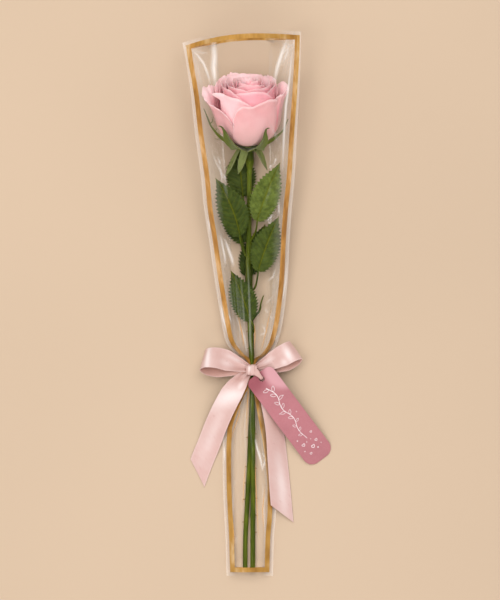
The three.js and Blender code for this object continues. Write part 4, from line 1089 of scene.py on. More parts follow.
class WRAPPED_ROSE_OT_stems(bpy.types.Operator):
    """Make the rose stem with its hip, the leafy shoot, their stalks and their prickles"""
    bl_idname = "wrapped_rose.stems"
    bl_label = "Make stems"

    def execute(self, context):
        s = context.scene.rose_leaves
        skin = stem_finish(s)
        rose, shoot = Shape(), Shape()
        rose_line, shoot_line = Path(ROSE_STEM), Path(SHOOT_STEM)
        ribs = stem_radius(STEM_RADIUS - 0.06, (0.13, 0.33, 0.55, 0.72, 0.75))
        end = rose_line.length

        def radius(share, turn):
            left = (1 - share) * end
            swell = (1.8 * smooth(24 - left, 0, 9) + 1.1 * smooth(8 - left, 0, 7)
                     + 0.5 * math.exp(-((left - 25) / 0.9) ** 2))
            return ribs(share, turn) + swell

        rose.tube(rose_line, radius, 320, 22)
        shoot.tube(shoot_line, lambda share: (SHOOT_RADIUS - 0.05) - 0.4 * smooth(share, 0.75, 1), 220, 18)
        shoot.tube(Path(TWIG), lambda share: 1.15 - 0.7 * share, 30, 10)
        for shape, leaves in ((rose, ROSE_LEAVES), (shoot, SHOOT_LEAVES)):
            for p in leaves:
                shape.tube(Path(p["stalk"]), lambda share: 0.88 - 0.2 * share, 26, 10)
        fit(rose.object("rose_stem_and_hip", skin), "stem", "rose_stem")
        fit(shoot.object("leafy_shoot_stem", skin), "shoot", "leafy_shoot")
        self.prickles(s, rose_line, shoot_line)
        return {"FINISHED"}

    def prickles(self, s, rose_line, shoot_line):
        hook = Shape()
        hook.tube(Path([(0, 0, 0), (0.8, 0, 0.05), (1.45, 0, -0.1), (1.9, 0, -0.4)], 6),
                  lambda u: 0.62 * (1 - 0.93 * u), 6, 8)
        copied = pattern(hook, "prickle")
        tree = pieces_on_points()
        finish = prickle_finish()
        for name, line, radius, slot, places in (
                ("rose_stem_prickles", rose_line, STEM_RADIUS, "stem",
                 [(0.09, 1), (0.17, 1), (0.24, 1), (0.32, 1), (0.52, -1), (0.56, -1), (0.13, 1), (0.36, -1)]),
                ("leafy_shoot_prickles", shoot_line, SHOOT_RADIUS, "shoot",
                 [(0.14, -1), (0.21, -1), (0.31, -1), (0.4, -1), (0.26, -1)])):
            rows = []
            for share, way in places:
                ahead = line.ahead(share)
                out = ahead.cross(Vector((0, 0, 1))).normalized() * way
                rows.append((line.at(share) + out * (radius - 0.35), out, ahead, 1.0))
            piece = grown(name, points_mesh(name, rows), tree, Piece=copied, Variation=0.2, Seed=s.seed,
                          Finish=finish)
            fit(piece, slot)
        discard(copied)


class WRAPPED_ROSE_OT_leaves(bpy.types.Operator):
    """Make the leaves and the sepals"""
    bl_idname = "wrapped_rose.leaves"
    bl_label = "Make leaves and sepals"

    def execute(self, context):
        s = context.scene.rose_leaves
        finish = leaf_finish(s)
        for name, leaves, slot in (
                ("rose_stem_leaves", ROSE_LEAVES, "stem"), ("leafy_shoot_leaves", SHOOT_LEAVES, "shoot")):
            shape = Shape()
            for p in leaves:
                leaf(shape, p, s.thickness)
            fit(shape.object(name, finish), slot)
        calyx = Shape()
        for p in SEPALS:
            sepal(calyx, p)
        calyx.lathe(CALYX_CUP, 48, in_bloom, {"down": 0.0, "side": 1.0, "pale": 0.2})
        fit(calyx.object("sepals", sepal_finish()), "stem")
        return {"FINISHED"}


# ---------------------------------------------------------------- sleeve

# Creases of the upper film sheet: half width and strength of their lift and painted highlight, then the
# points that each follows, mm.
CREASES = [
    (1.0, 0.8, (-54.8, 211), (-49.8, 206.2), (-44.8, 199.2), (-41.6, 191), (-39.3, 183.1)),
    (2.3, 0.7, (-36.8, 219), (-36, 205), (-36.9, 195), (-35.6, 183)),
    (1.5, 0.85, (-37, 204), (-36.4, 194), (-35.3, 184)), (0.5, 0.8, (29.9, 226.4), (29.7, 213)),
    (1.7, 0.6, (26, 219), (24.6, 209), (20.4, 199)),
    (0.7, 0.4, (-54.4, 210), (-50.6, 198.3), (-47.7, 186.7), (-45.6, 176.7)),
    (0.7, 0.3, (-55.2, 210), (-52.7, 195), (-50.6, 178.3)),
    (0.7, 0.45, (-54.8, 211.2), (-48.1, 208.8), (-41.5, 207.9)),
    (1.6, 0.85, (24.4, 219.2), (20.2, 208.3), (16.5, 196.7), (14.1, 185.4)),
    (0.8, 0.6, (30.2, 217.5), (23.5, 210.8), (18.1, 203.8)),
    (0.6, 0.4, (29.4, 215.8), (24.4, 203.3), (19.8, 188.3)),
    (0.6, 0.4, (29.4, 215.8), (26, 201.7), (22.7, 186.7)),
    (1.0, 1.0, (29, 216.7), (26.9, 192.5), (25.2, 176.7), (23.5, 165), (22.1, 145), (21.3, 129.2),
     (20.6, 111.7)),
    (0.8, 0.5, (-37.7, 125), (-33.1, 114.5), (-30.6, 108.3)), (0.9, 0.5, (-33.1, 121.7), (-30.6, 115)),
    (1.0, 0.5, (-32.3, 115.8), (-30, 107.8), (-29.5, 100.8)), (0.9, 0.5, (-28.5, 107.8), (-26.9, 102.5)),
    (0.9, 0.5, (15.7, 121.7), (13.5, 116.1)), (0.8, 0.4, (11.9, 115.8), (9.4, 112.5)),
    (1.0, 0.7, (-31.1, 57.9), (-29.5, 49.4), (-27.4, 38.8), (-26.9, 32.5)),
    (1.3, 0.7, (-27.4, 53.3), (-24.8, 46.7), (-21.5, 37.2), (-20.6, 32.5)),
    (1.0, 0.6, (17.5, 86.1), (17.7, 73.3)), (0.8, 0.4, (13.8, 75.4), (6.6, 68)),
    (0.6, 0.6, (-42.3, 71.7), (-40.6, 66.9), (-40.1, 58.3)),
    (0.8, 0.8, (-31.2, 1), (-30.2, -4.3), (-29, -11.7), (-27, -18.2), (-24.9, -25), (-23, -29.3)),
    (0.7, 0.6, (24, 35), (23.3, 19.2), (21.7, 9.5), (20.6, 2.1)), (0.8, 0.5, (17.1, -25), (14.5, -30.8)),
    (0.8, 0.6, (-25.9, -4.2), (-23.8, -10), (-21.6, -15.5)),
    (1.0, 0.55, (-17.4, -11.7), (-14.8, -18.2), (-12.6, -25), (-11, -28.8), (-9.4, -39.4)),
    (0.8, 0.5, (15, 29.7), (12.9, 22.8), (8.6, 19.2)), (0.7, 0.5, (15.5, 22.8), (17.7, 19.2)),
    (0.6, 0.3, (13.5, 19.2), (14.5, 3.3)), (0.7, 0.35, (12.4, 5.3), (6.9, 1)),
    (0.9, 0.4, (6, -4.2), (8.5, -7.5)), (0.8, 0.5, (3.9, -17.1), (7, -24), (2.3, -25.6)),
    (0.8, 0.5, (9.7, -10), (13.2, -12.8)), (0.8, 0.8, (-1.8, -114), (-0.3, -121), (2.7, -130.7), (4, -138.3)),
    (0.8, 0.7, (7.3, -128.1), (4, -137.7)), (0.7, 0.6, (3.8, -124.6), (7.3, -129.6)),
    (0.7, 0.5, (0.7, -121), (2.9, -129)), (0.7, 0.7, (-28.1, -118), (-27.5, -132.2)),
    (0.9, 0.3, (-20, -150), (-22.4, -205)), (0.9, 0.3, (4, -150), (6.6, -210))]

# Thin gold-tinted streaks on the gathered film, as points that each follows, mm.
GILT = [
    ((13.4, 2.1), (9.7, -9.2), (8.1, -17), (7, -23.3), (3.9, -34.2), (2.7, -41.7)),
    ((-2.8, -14.2), (-2.3, -25.8), (-2.8, -39.2)),
    ((-8.6, -67.5), (-7.9, -73.3), (-9, -87.5), (-9.4, -112.9)),
    ((-11.9, -73.1), (-15.4, -82.5), (-15.4, -91.7), (-18, -99.8), (-21, -107.9), (-22, -115.8)),
    ((-2.3, -128.1), (-1.8, -146.7), (-0.4, -176), (0.8, -200)), ((-10, -130), (-11.6, -150), (-12.6, -172)),
    ((-22.6, -168), (-20.4, -186), (-18.8, -206)), ((6, -150), (4, -172), (5.4, -196)),
    ((-17, -6), (-13.2, -24), (-11, -37))]


def mouth_drop(x):
    return np.where(x < 0, 0.00266, 0.0007) * x * x


def soften(x, low, high):
    share = np.clip((x - low) / (high - low), 0, 1)
    return share * share * (3 - 2 * share)


def near_line(x, y, line, width):
    """How near (x, y) is to a line of points, from 0 to 1, fading out at the line's two ends."""
    best = np.zeros_like(x)
    for k, ((x0, y0), (x1, y1)) in enumerate(zip(line, line[1:])):
        dx, dy = x1 - x0, y1 - y0
        share = np.clip(((x - x0) * dx + (y - y0) * dy) / (dx * dx + dy * dy), 0, 1)
        gap = np.hypot(x - x0 - share * dx, y - y0 - share * dy)
        whole = (k + share) / (len(line) - 1)
        fade = np.sin(math.pi * np.clip(whole, 0.06, 0.94)) ** 0.5
        best = np.maximum(best, np.exp(-(gap / width) ** 2) * fade)
    return best


def relief(x, y, q, side, seed):
    """How far gathers, creases and crinkles lift the film off its smooth shape, and how much white highlight
    is painted on them and on the film's sides.
    """
    away = np.abs(y - NECK_Y)
    gather = np.clip((away - 4) / 14, 0, 1) * np.clip(1.25 - away / 88, 0, 1)
    draw = random.Random(seed + side)
    # Painted highlight: whiter towards the sides of the film and in a thin line at each edge.
    height, haze = np.zeros_like(x), 0.17 * soften(np.abs(q), 0.5, 0.9) + 0.1 * soften(np.abs(q), 1.03, 1.09)
    for k in range(17):
        centre = -0.92 + 1.84 * k / 16 + draw.uniform(-0.035, 0.035)
        size = draw.uniform(0.3, 0.9)
        width = draw.uniform(0.025, 0.05)
        bend = draw.uniform(-0.05, 0.05) * away / 60
        ridge = gather * size * np.exp(-((q - centre - bend) / width) ** 2)
        height += ridge
        haze += 0.27 * ridge * np.clip(away / 20, 0, 1)
    height += 0.25 * np.sin(y / 23 + 2 * q) * np.clip(away / 60, 0, 1)
    height += 0.16 * np.sin(y / 7.5 + 5 * q + draw.uniform(0, 6)) * np.clip(away / 60, 0, 1)
    for width, strength, *line in CREASES if side == 1 else ():
        near = near_line(x, y, line, width)
        height += 0.9 * strength * near
        haze = np.maximum(haze, strength * near)
    for _ in range(60):
        x0, y0 = draw.uniform(-48, 28), draw.uniform(-215, 215)
        turn, span = draw.gauss(math.pi / 2, 0.4), draw.uniform(8, 34)
        end = (x0 + span * math.cos(turn), y0 + span * math.sin(turn))
        size, width = draw.uniform(0.08, 0.3), draw.uniform(0.7, 1.8)
        near = near_line(x, y, ((x0, y0), end), width) * soften(np.abs(q), 0.3, 0.65)
        height += size * near
        haze = np.maximum(haze, 0.8 * size * near)
    return height, np.clip(haze, 0, 1)


def film_height(x, y, side, seed):
    """Height and painted white highlight of the film over (x, y): side 1 is the upper sheet and -1 the lower
    one.
    """
    left, right, seam, top, under = (table(SLEEVE_ROWS, y, column) for column in range(1, 6))
    half = (right - left) / 2
    inner = half - np.minimum(SEAM_WIDTH, 0.1 * half)
    q = (x - (left + right) / 2) / inner
    swell = np.clip(1 - np.abs(q) ** 2.4, 0, 1)
    hold = np.clip((1 - np.abs(q)) / 0.12, 0, 1)
    bumps, haze = relief(x, y, q, side, seed)
    bumps = bumps * hold
    if side == 1:
        return seam + 0.12 + (top - seam - 0.4) * swell + bumps * np.clip((top - seam) / 12, 0.35, 1), haze
    flat = seam - 0.12 - (seam - 0.25 - under) * swell
    bumps = bumps * np.clip((seam - 2) / 30, 0, 0.6)
    return np.maximum(flat, 0.22) + bumps * np.clip(flat / 3, 0, 1), haze * 0.5


def sheet_grid(side, seed, across, rows):
    """The film's points: across from the left edge to the right, down from the foot to the mouth."""
    a = np.linspace(-1, 1, across + 1)
    foot_rows, neck_rows = rows // 4, rows // 5
    y = np.concatenate([
        np.linspace(SLEEVE_FOOT, -75, foot_rows, endpoint=False),
        np.linspace(-75, -20, neck_rows, endpoint=False),
        np.linspace(-20, SLEEVE_MOUTH, rows - foot_rows - neck_rows + 1)])
    yy, aa = np.meshgrid(y, a, indexing="ij")
    left, right = table(SLEEVE_ROWS, yy, 1), table(SLEEVE_ROWS, yy, 2)
    xx = (left + right) / 2 + (right - left) / 2 * aa
    yy = yy - mouth_drop(xx) * np.clip((yy - 203) / 24.5, 0, 1)
    gilt = np.zeros_like(xx)
    for line in GILT if side == 1 else ():
        gilt = np.maximum(gilt, near_line(xx, yy, line, 0.55))
    return (xx, yy, *film_height(xx, yy, side, seed), gilt)


def grid_object(name, x, y, z, haze, gilt, thick, material):
    """A closed thin sheet from a grid of heights, with its outer face and its painted white highlight marked.
    """
    rows, columns = x.shape
    down = np.stack([np.gradient(v, axis=0) for v in (x, y, z)], -1)
    over = np.stack([np.gradient(v, axis=1) for v in (x, y, z)], -1)
    normal = np.cross(over, down)
    normal /= np.maximum(np.linalg.norm(normal, axis=-1, keepdims=True), 1e-9)
    centre = np.stack([x, y, z], -1)
    half_way = normal * thick / 2
    points = np.concatenate([(centre + half_way).reshape(-1, 3), (centre - half_way).reshape(-1, 3)]) * MM
    ids = np.arange(rows * columns).reshape(rows, columns)
    a, b, c, d = ids[:-1, :-1], ids[:-1, 1:], ids[1:, 1:], ids[1:, :-1]
    half = rows * columns
    faces = [np.stack([a, b, c, d], -1).reshape(-1, 4), np.stack([a, d, c, b], -1).reshape(-1, 4) + half]
    for run, turned in ((ids[0, :], True), (ids[-1, :], False), (ids[:, 0], False), (ids[:, -1], True)):
        p, n = (run[:-1], run[1:]) if turned else (run[1:], run[:-1])
        faces.append(np.stack([p, p + half, n + half, n], -1))
    mesh = bpy.data.meshes.new(name)
    mesh.from_pydata(points.tolist(), [], np.concatenate(faces).tolist())
    out = np.repeat([1.0, 0.0] if name != "film_lower_sheet" else [0.0, 1.0], half)
    marks = {"outside": out, "haze": np.tile(haze.ravel(), 2), "gilt": np.tile(gilt.ravel(), 2)}
    for key, values in marks.items():
        mesh.attributes.new(key, "FLOAT", "POINT").data.foreach_set("value", values.astype(np.float32))
    return piece_from(mesh, name, material, 60)


def border_inset(y, column, inset):
    """Clear margin beside the border: it narrows up the flared part, more so on the right."""
    return table(BORDER_INSETS, y, column) + inset - BORDER_INSET


def border_strips(s, side):
    """The four mitred bands of a sheet's printed border, as grids of x, y and height."""
    inset, width = s.inset, s.border

    def off_side(y, v, column):
        return border_inset(y, column, inset) + width * v

    strips = []
    for column, way in ((1, 1), (2, -1)):
        v, u = np.meshgrid(np.linspace(0, 1, 7), np.linspace(0, 1, 420))
        off = inset + width * v
        near_mouth = np.full_like(off, 220.0)
        top_x = table(SLEEVE_ROWS, near_mouth, column) + way * off_side(near_mouth, v, column)
        y = (SLEEVE_FOOT + off) + ((SLEEVE_MOUTH - mouth_drop(top_x) - off) - (SLEEVE_FOOT + off)) * u
        x = table(SLEEVE_ROWS, y, column)
        room = (table(SLEEVE_ROWS, y, 2) - table(SLEEVE_ROWS, y, 1)) / 2
        strips.append((x + way * off_side(y, v, column) * np.clip(room / 9.5, 0, 1), y))
    for foot in (True, False):
        v, u = np.meshgrid(np.linspace(0, 1, 7), np.linspace(0, 1, 110))
        off = inset + width * v
        reach = np.full_like(off, SLEEVE_FOOT) + off if foot else np.full_like(off, 222.0)
        low, high = (table(SLEEVE_ROWS, reach, column) + way * off_side(reach, v, column)
                     for column, way in ((1, 1), (2, -1)))
        x = low + (high - low) * u
        strips.append((x, reach if foot else SLEEVE_MOUTH - mouth_drop(x) - off))
    return [(x, y, film_height(x, y, side, s.seed)[0] + side * 0.17) for x, y in strips]


class WRAPPED_ROSE_OT_film(bpy.types.Operator):
    """Make the clear sleeve: upper and lower sheets, joined at the sides"""
    bl_idname = "wrapped_rose.film"
    bl_label = "Make film sleeve"

    def execute(self, context):
        s = context.scene.rose_film
        finish = film_finish()
        upper = grid_object("film_upper_sheet", *sheet_grid(1, s.seed, 118, 330), s.thickness, finish)
        lower = grid_object("film_lower_sheet", *sheet_grid(-1, s.seed, 60, 190), s.thickness, finish)
        fit(upper, "film", "film_sleeve")
        fit(lower, "film")
        for sheet in (upper, lower):
            sheet.visible_shadow = False
        return {"FINISHED"}


class WRAPPED_ROSE_OT_borders(bpy.types.Operator):
    """Make the gold borders printed round both sheets"""
    bl_idname = "wrapped_rose.borders"
    bl_label = "Make gold borders"

    def execute(self, context):
        s = context.scene.rose_film
        finish = gold_finish(s)
        for side, word in ((1, "upper"), (-1, "lower")):
            for (x, y, z), place in zip(border_strips(s, side), ("left", "right", "foot", "mouth")):
                if side == -1:
                    z = np.maximum(z, 0.06)
                piece = grid_object(f"gold_border_{word}_{place}", x, y, z, z * 0, z * 0, 0.06, finish)
                face_outwards(piece)
                fit(piece, "film")
        return {"FINISHED"}


# ---------------------------------------------------------------- ribbon

class Strip:
    """A length of ribbon along rows of (middle, half width, the way its width runs).

    Painted lights and painted shades are soft bands of colour on it:
    (share along, share across, slant, half length, half width, strength).
    """

    def __init__(self, rows, pleats, seed, front_inside, lights=(), shades=()):
        self.path = Path([row[0] for row in rows])
        self.rows = rows
        self.pleats, self.front_inside = pleats, front_inside
        self.lights, self.shades = lights, shades
        draw = random.Random(seed)
        self.phases = [draw.uniform(0, 6.28) for _ in range(3)]
        self.last = len(rows) - 1

    def way(self, u):
        place = min(u * self.last, self.last - 1e-6)
        i = int(place)
        share = smooth(place - i, 0, 1) * 0.5 + (place - i) * 0.5
        a, b = Vector(self.rows[i][2]).normalized(), Vector(self.rows[i + 1][2]).normalized()
        half = self.rows[i][1] + (self.rows[i + 1][1] - self.rows[i][1]) * (place - i)
        return a.lerp(b, share).normalized(), half

    def glow(self, u, v, bands):
        total = 0
        for along, across, slant, long, wide, strength in bands:
            off = (u - along - slant * (v - 0.5)) / long
            total = max(total, strength * math.exp(-off * off - ((v - across) / wide) ** 2))
        return total

    def pleat_shade(self, u, v):
        """Darker in the gathers next to the knot."""
        tight = smooth(1 - self.way(u)[1] / RIBBON_HALF, 0.05, 0.7)
        return tight * (0.5 + 0.5 * math.sin(self.pleats * (2 * v - 1) + self.phases[0] + math.pi)) * 0.75

    def at(self, u, v):
        t = 2 * v - 1
        way, half = self.way(u)
        middle = self.path.at_knots(u)
        ahead = (self.path.at_knots(u + 0.004) - self.path.at_knots(u - 0.004)).normalized()
        face = way.cross(ahead).normalized()
        tight = smooth(1 - half / RIBBON_HALF, 0.02, 0.75)
        fold = tight * (0.85 * math.sin(self.pleats * t + self.phases[0])
                        + 0.35 * math.sin(2.3 * self.pleats * t + self.phases[1]))
        loose = (1 - tight) * 0.22 * math.sin(9 * u + 2.2 * t + self.phases[2])
        return middle + way * (half * t) + face * (fold + loose)


def ribbon_piece(name, strip, finish, thick, steps, ends=None):
    """Makes a strip's piece; ends(v) gives the share where it is cut for each place across."""
    shape = Shape()
    place = lambda u, v: ends(v) * u if ends else u
    at = lambda u, v: strip.at(place(u, v), v)
    # The strip's painted highlights and painted shades go onto it as marks.
    shape.sheet(at, steps, 22, thick, {
        "edge": lambda u, v: abs(2 * v - 1),
        "lustre": lambda u, v: strip.glow(place(u, v), v, strip.lights),
        "dim": lambda u, v: max(strip.glow(place(u, v), v, strip.shades), strip.pleat_shade(place(u, v), v))})
    sides = shape.marks["side"]
    shape.marks["inner"] = sides if strip.front_inside else [1 - side for side in sides]
    return shape.object(name, finish, 60), at


def edge_lines(name, at, steps=200):
    """Both long edges of a strip as a mesh of edges."""
    points, edges = [], []
    for v in (0.004, 0.996):
        first = len(points)
        points += [tuple(at(i / steps, v) * MM) for i in range(steps + 1)]
        edges += [(first + i, first + i + 1) for i in range(steps)]
    mesh = bpy.data.meshes.new(name)
    mesh.from_pydata(points, edges, [])
    return mesh


def slanted_end(strip, point, outward):
    """Where a strip is cut by a plane, as a share of its rows for each place across."""
    def end(v):
        low, high = 0.5, 1.0
        for _ in range(24):
            mid = (low + high) / 2
            if (strip.at(mid, v) - point).dot(outward) < 0:
                low = mid
            else:
                high = mid
        return low
    return end


class WRAPPED_ROSE_OT_ribbon(bpy.types.Operator):
    """Make the tied satin ribbon: band, knot, loops, tails and the bight that holds the tag"""
    bl_idname = "wrapped_rose.ribbon"
    bl_label = "Make ribbon bow"

    def execute(self, context):
        s = context.scene.rose_ribbon
        finish = satin_finish(s)
        tree = beads_along_edges()
        left = Strip(
            TAIL_LEFT, 5.5, 3, True,
            lights=[(0.36, 0.45, 0.1, 0.075, 0.75, 0.85), (0.62, 0.5, 0.06, 0.16, 0.22, 0.3),
                    (0.24, 0.3, 0.0, 0.08, 0.16, 0.7)],
            shades=[(0.17, 0.5, 0.05, 0.06, 0.5, 0.75), (0.5, 0.15, 0, 0.1, 0.2, 0.2),
                    (0.9, 0.5, 0, 0.1, 0.7, 0.12)])
        right = Strip(
            TAIL_RIGHT, 5, 8, False,
            lights=[(0.74, 0.6, 0.05, 0.1, 0.24, 0.55), (0.33, 0.25, 0.04, 0.06, 0.25, 0.35)],
            shades=[(0.45, 0.55, 0.08, 0.1, 0.4, 0.6), (0.6, 0.85, 0, 0.1, 0.2, 0.3),
                    (0.92, 0.5, 0, 0.06, 0.7, 0.25)])
        loop_left = Strip(
            LOOP_LEFT, 5, 1, True,
            lights=[(0.38, 0.5, 0.03, 0.028, 0.8, 0.95), (0.15, 0.72, 0.0, 0.07, 0.12, 0.45),
                    (0.21, 0.35, 0.02, 0.05, 0.15, 0.35)],
            shades=[(0.27, 0.55, 0.05, 0.05, 0.5, 0.35), (0.12, 0.2, 0, 0.06, 0.25, 0.6),
                    (0.48, 0.5, 0, 0.03, 0.8, 0.3)])
        loop_right = Strip(
            LOOP_RIGHT, 5, 2, False,
            lights=[(0.36, 0.42, 0.02, 0.03, 0.4, 0.9), (0.3, 0.18, 0.02, 0.03, 0.16, 0.6),
                    (0.17, 0.6, 0.0, 0.07, 0.14, 0.4)],
            shades=[(0.24, 0.6, 0.05, 0.04, 0.4, 0.4), (0.13, 0.3, 0, 0.06, 0.3, 0.55),
                    (0.44, 0.6, 0, 0.03, 0.6, 0.3)])
        runs = [
            ("ribbon_loop_left", loop_left, 150, None),
            ("ribbon_loop_right", loop_right, 150, None),
            ("ribbon_tail_left", left, 130,
             slanted_end(left, Vector((-50.3, -141.3, 0)), Vector((-0.89, -0.45, 0)))),
            ("ribbon_tail_right", right, 130,
             slanted_end(right, Vector((20.7, -175.4, 0)), Vector((-0.61, -0.79, 0)))),
        ]
        for name, strip, steps, ends in runs:
            piece, at = ribbon_piece(name, strip, finish, s.thickness, steps, ends=ends)
            fit(piece, "ribbon", *(["ribbon_bow"] if name == "ribbon_loop_left" else []))
            length = strip.path.length * MM
            beads = grown(name + "_edge", edge_lines(name, at), tree, Spacing=s.picot * MM, Radius=0.00034,
                          Variation=0.2, Seed=4, Finish=finish)
            fit(beads, "ribbon")
            "folded" if "loop" in name else "laid"
        self.knot(finish)
        return {"FINISHED"}

    def knot(self, finish):
        band = Shape()

        def round_neck(u, v):
            turn = 2 * math.pi * u
            ridge = 0.22 * abs(math.sin(7 * v)) + 0.1 * math.sin(5 * turn + 9 * v)
            x = -4.8 + (5.55 + ridge) * math.cos(turn)
            return Vector((x, NECK_Y + 3.4 * (1 - 2 * v), 6.7 + (6.25 + ridge) * math.sin(turn)))

        closed_band(band, round_neck, 72, 12, 0.5)
        fit(band.object("ribbon_neck_band", finish, 70), "ribbon")
        wrap = Shape()

        def over_knot(u, v):
            turn = 2 * math.pi * u
            t = 2 * v - 1
            waist = 1 - 0.08 * t * t
            fold = 0.3 * math.sin(5.2 * t + 0.6 + 0.5 * math.sin(turn)) + 0.1 * math.sin(14 * t + 2)
            cos, sin = math.cos(turn), math.sin(turn)
            round_y = math.copysign(abs(cos) ** 0.7, cos) * (4.25 + fold) * waist
            round_z = math.copysign(abs(sin) ** 0.7, sin) * (3.05 + fold) * waist
            along = (4.4 + 0.5 * max(-sin, 0)) * t + 0.3 * cos * (1 - t * t)
            return KNOT + Vector((along, round_y, round_z))

        closed_band(wrap, over_knot, 84, 40, 0.5)
        # Painted shade at the band's two sides and in stripes across it, and a painted highlight near one
        # end.
        wrap.marks["dim"] = [
            0.7 * smooth(abs(2 * v - 1), 0.75, 1) + 0.4 * smooth(math.sin(17 * v + 1), 0.3, 1)
            for v, u in wrap.uvs]
        wrap.marks["lustre"] = [
            0.7 * math.exp(-((v - 0.3) / 0.16) ** 2 - ((u - 0.2) / 0.09) ** 2) for v, u in wrap.uvs]

        def filler(height, radius, degrees):
            turn = math.radians(degrees)
            return KNOT + Vector((height, 1.28 * radius * math.cos(turn), radius * math.sin(turn)))

        profile = [(-4.6, 0), (-4.6, 1.6), (-4, 2.4), (0, 2.7), (4, 2.4), (4.6, 1.6), (4.6, 0)]
        wrap.lathe(profile, 24, filler, {"down": 0.5})
        fit(wrap.object("ribbon_knot", finish, 70), "ribbon")
        bight = Shape()
        wide = lambda share: 3.3 - 1.8 * smooth(share, 0.08, 0.42) + 0.2 * smooth(share, 0.6, 1)
        # The bight is painted a little darker all over, as shade.
        bight.tube(Path(TAG_BIGHT), wide, 70, 14, 0.36, {"edge": 0.0, "dim": 0.2})
        fit(bight.object("ribbon_tag_bight", finish, 70), "ribbon")


def closed_band(shape, at, round_steps, across, thick):
    """Adds a closed band: at(u, v) runs round with u and across with v."""
    ring = lambda u, v: at(u % 1.0, v)
    points, faces, uvs = [], [], []
    for layer in (1, -1):
        for i in range(round_steps):
            for j in range(across + 1):
                u, v = i / round_steps, j / across
                down = ring(u + 0.004, v) - ring(u - 0.004, v)
                over = ring(u, min(v + 0.01, 1)) - ring(u, max(v - 0.01, 0))
                points.append(ring(u, v) + down.cross(over).normalized() * (layer * thick / 2))
                uvs.append((v, u))
    half = round_steps * (across + 1)
    place = lambda i, j: (i % round_steps) * (across + 1) + j
    for i in range(round_steps):
        for j in range(across):
            a, b, c, d = place(i, j), place(i + 1, j), place(i + 1, j + 1), place(i, j + 1)
            faces += [(a, b, c, d), (half + a, half + d, half + c, half + b)]
        a, b = place(i, 0), place(i + 1, 0)
        faces.append((a, half + a, half + b, b))
        a, b = place(i + 1, across), place(i, across)
        faces.append((a, half + a, half + b, b))
    shape.add(points, faces, uvs, edge=[abs(2 * uv[0] - 1) for uv in uvs], side=[1.0] * len(uvs))


# ---------------------------------------------------------------- tag

def on_tag(x, y, z):
    """A point of the tag: x across it, y from its top end (negative downwards) and z above its underside."""
    cos, sin = math.cos(TAG_DROP), math.sin(TAG_DROP)
    y, z = y * cos - z * sin, y * sin + z * cos
    cos, sin = math.cos(TAG_TURN), math.sin(TAG_TURN)
    return TAG_PLACE + Vector((x * cos - y * sin, x * sin + y * cos, z))


def card_outline():
    """The card's rounded outline, as points across and down it."""
    half, length, near, far = TAG["width"] / 2, TAG["length"], TAG["near"], TAG["far"]
    corners = [(half - near, -near, near, 0), (-half + near, -near, near, 90),
               (-half + far, -length + far, far, 180), (half - far, -length + far, far, 270)]
    points = []
    for x, y, r, start in corners:
        for k in range(15):
            turn = math.radians(start + 90 * k / 14)
            points.append((x + r * math.cos(turn), y + r * math.sin(turn)))
    return points


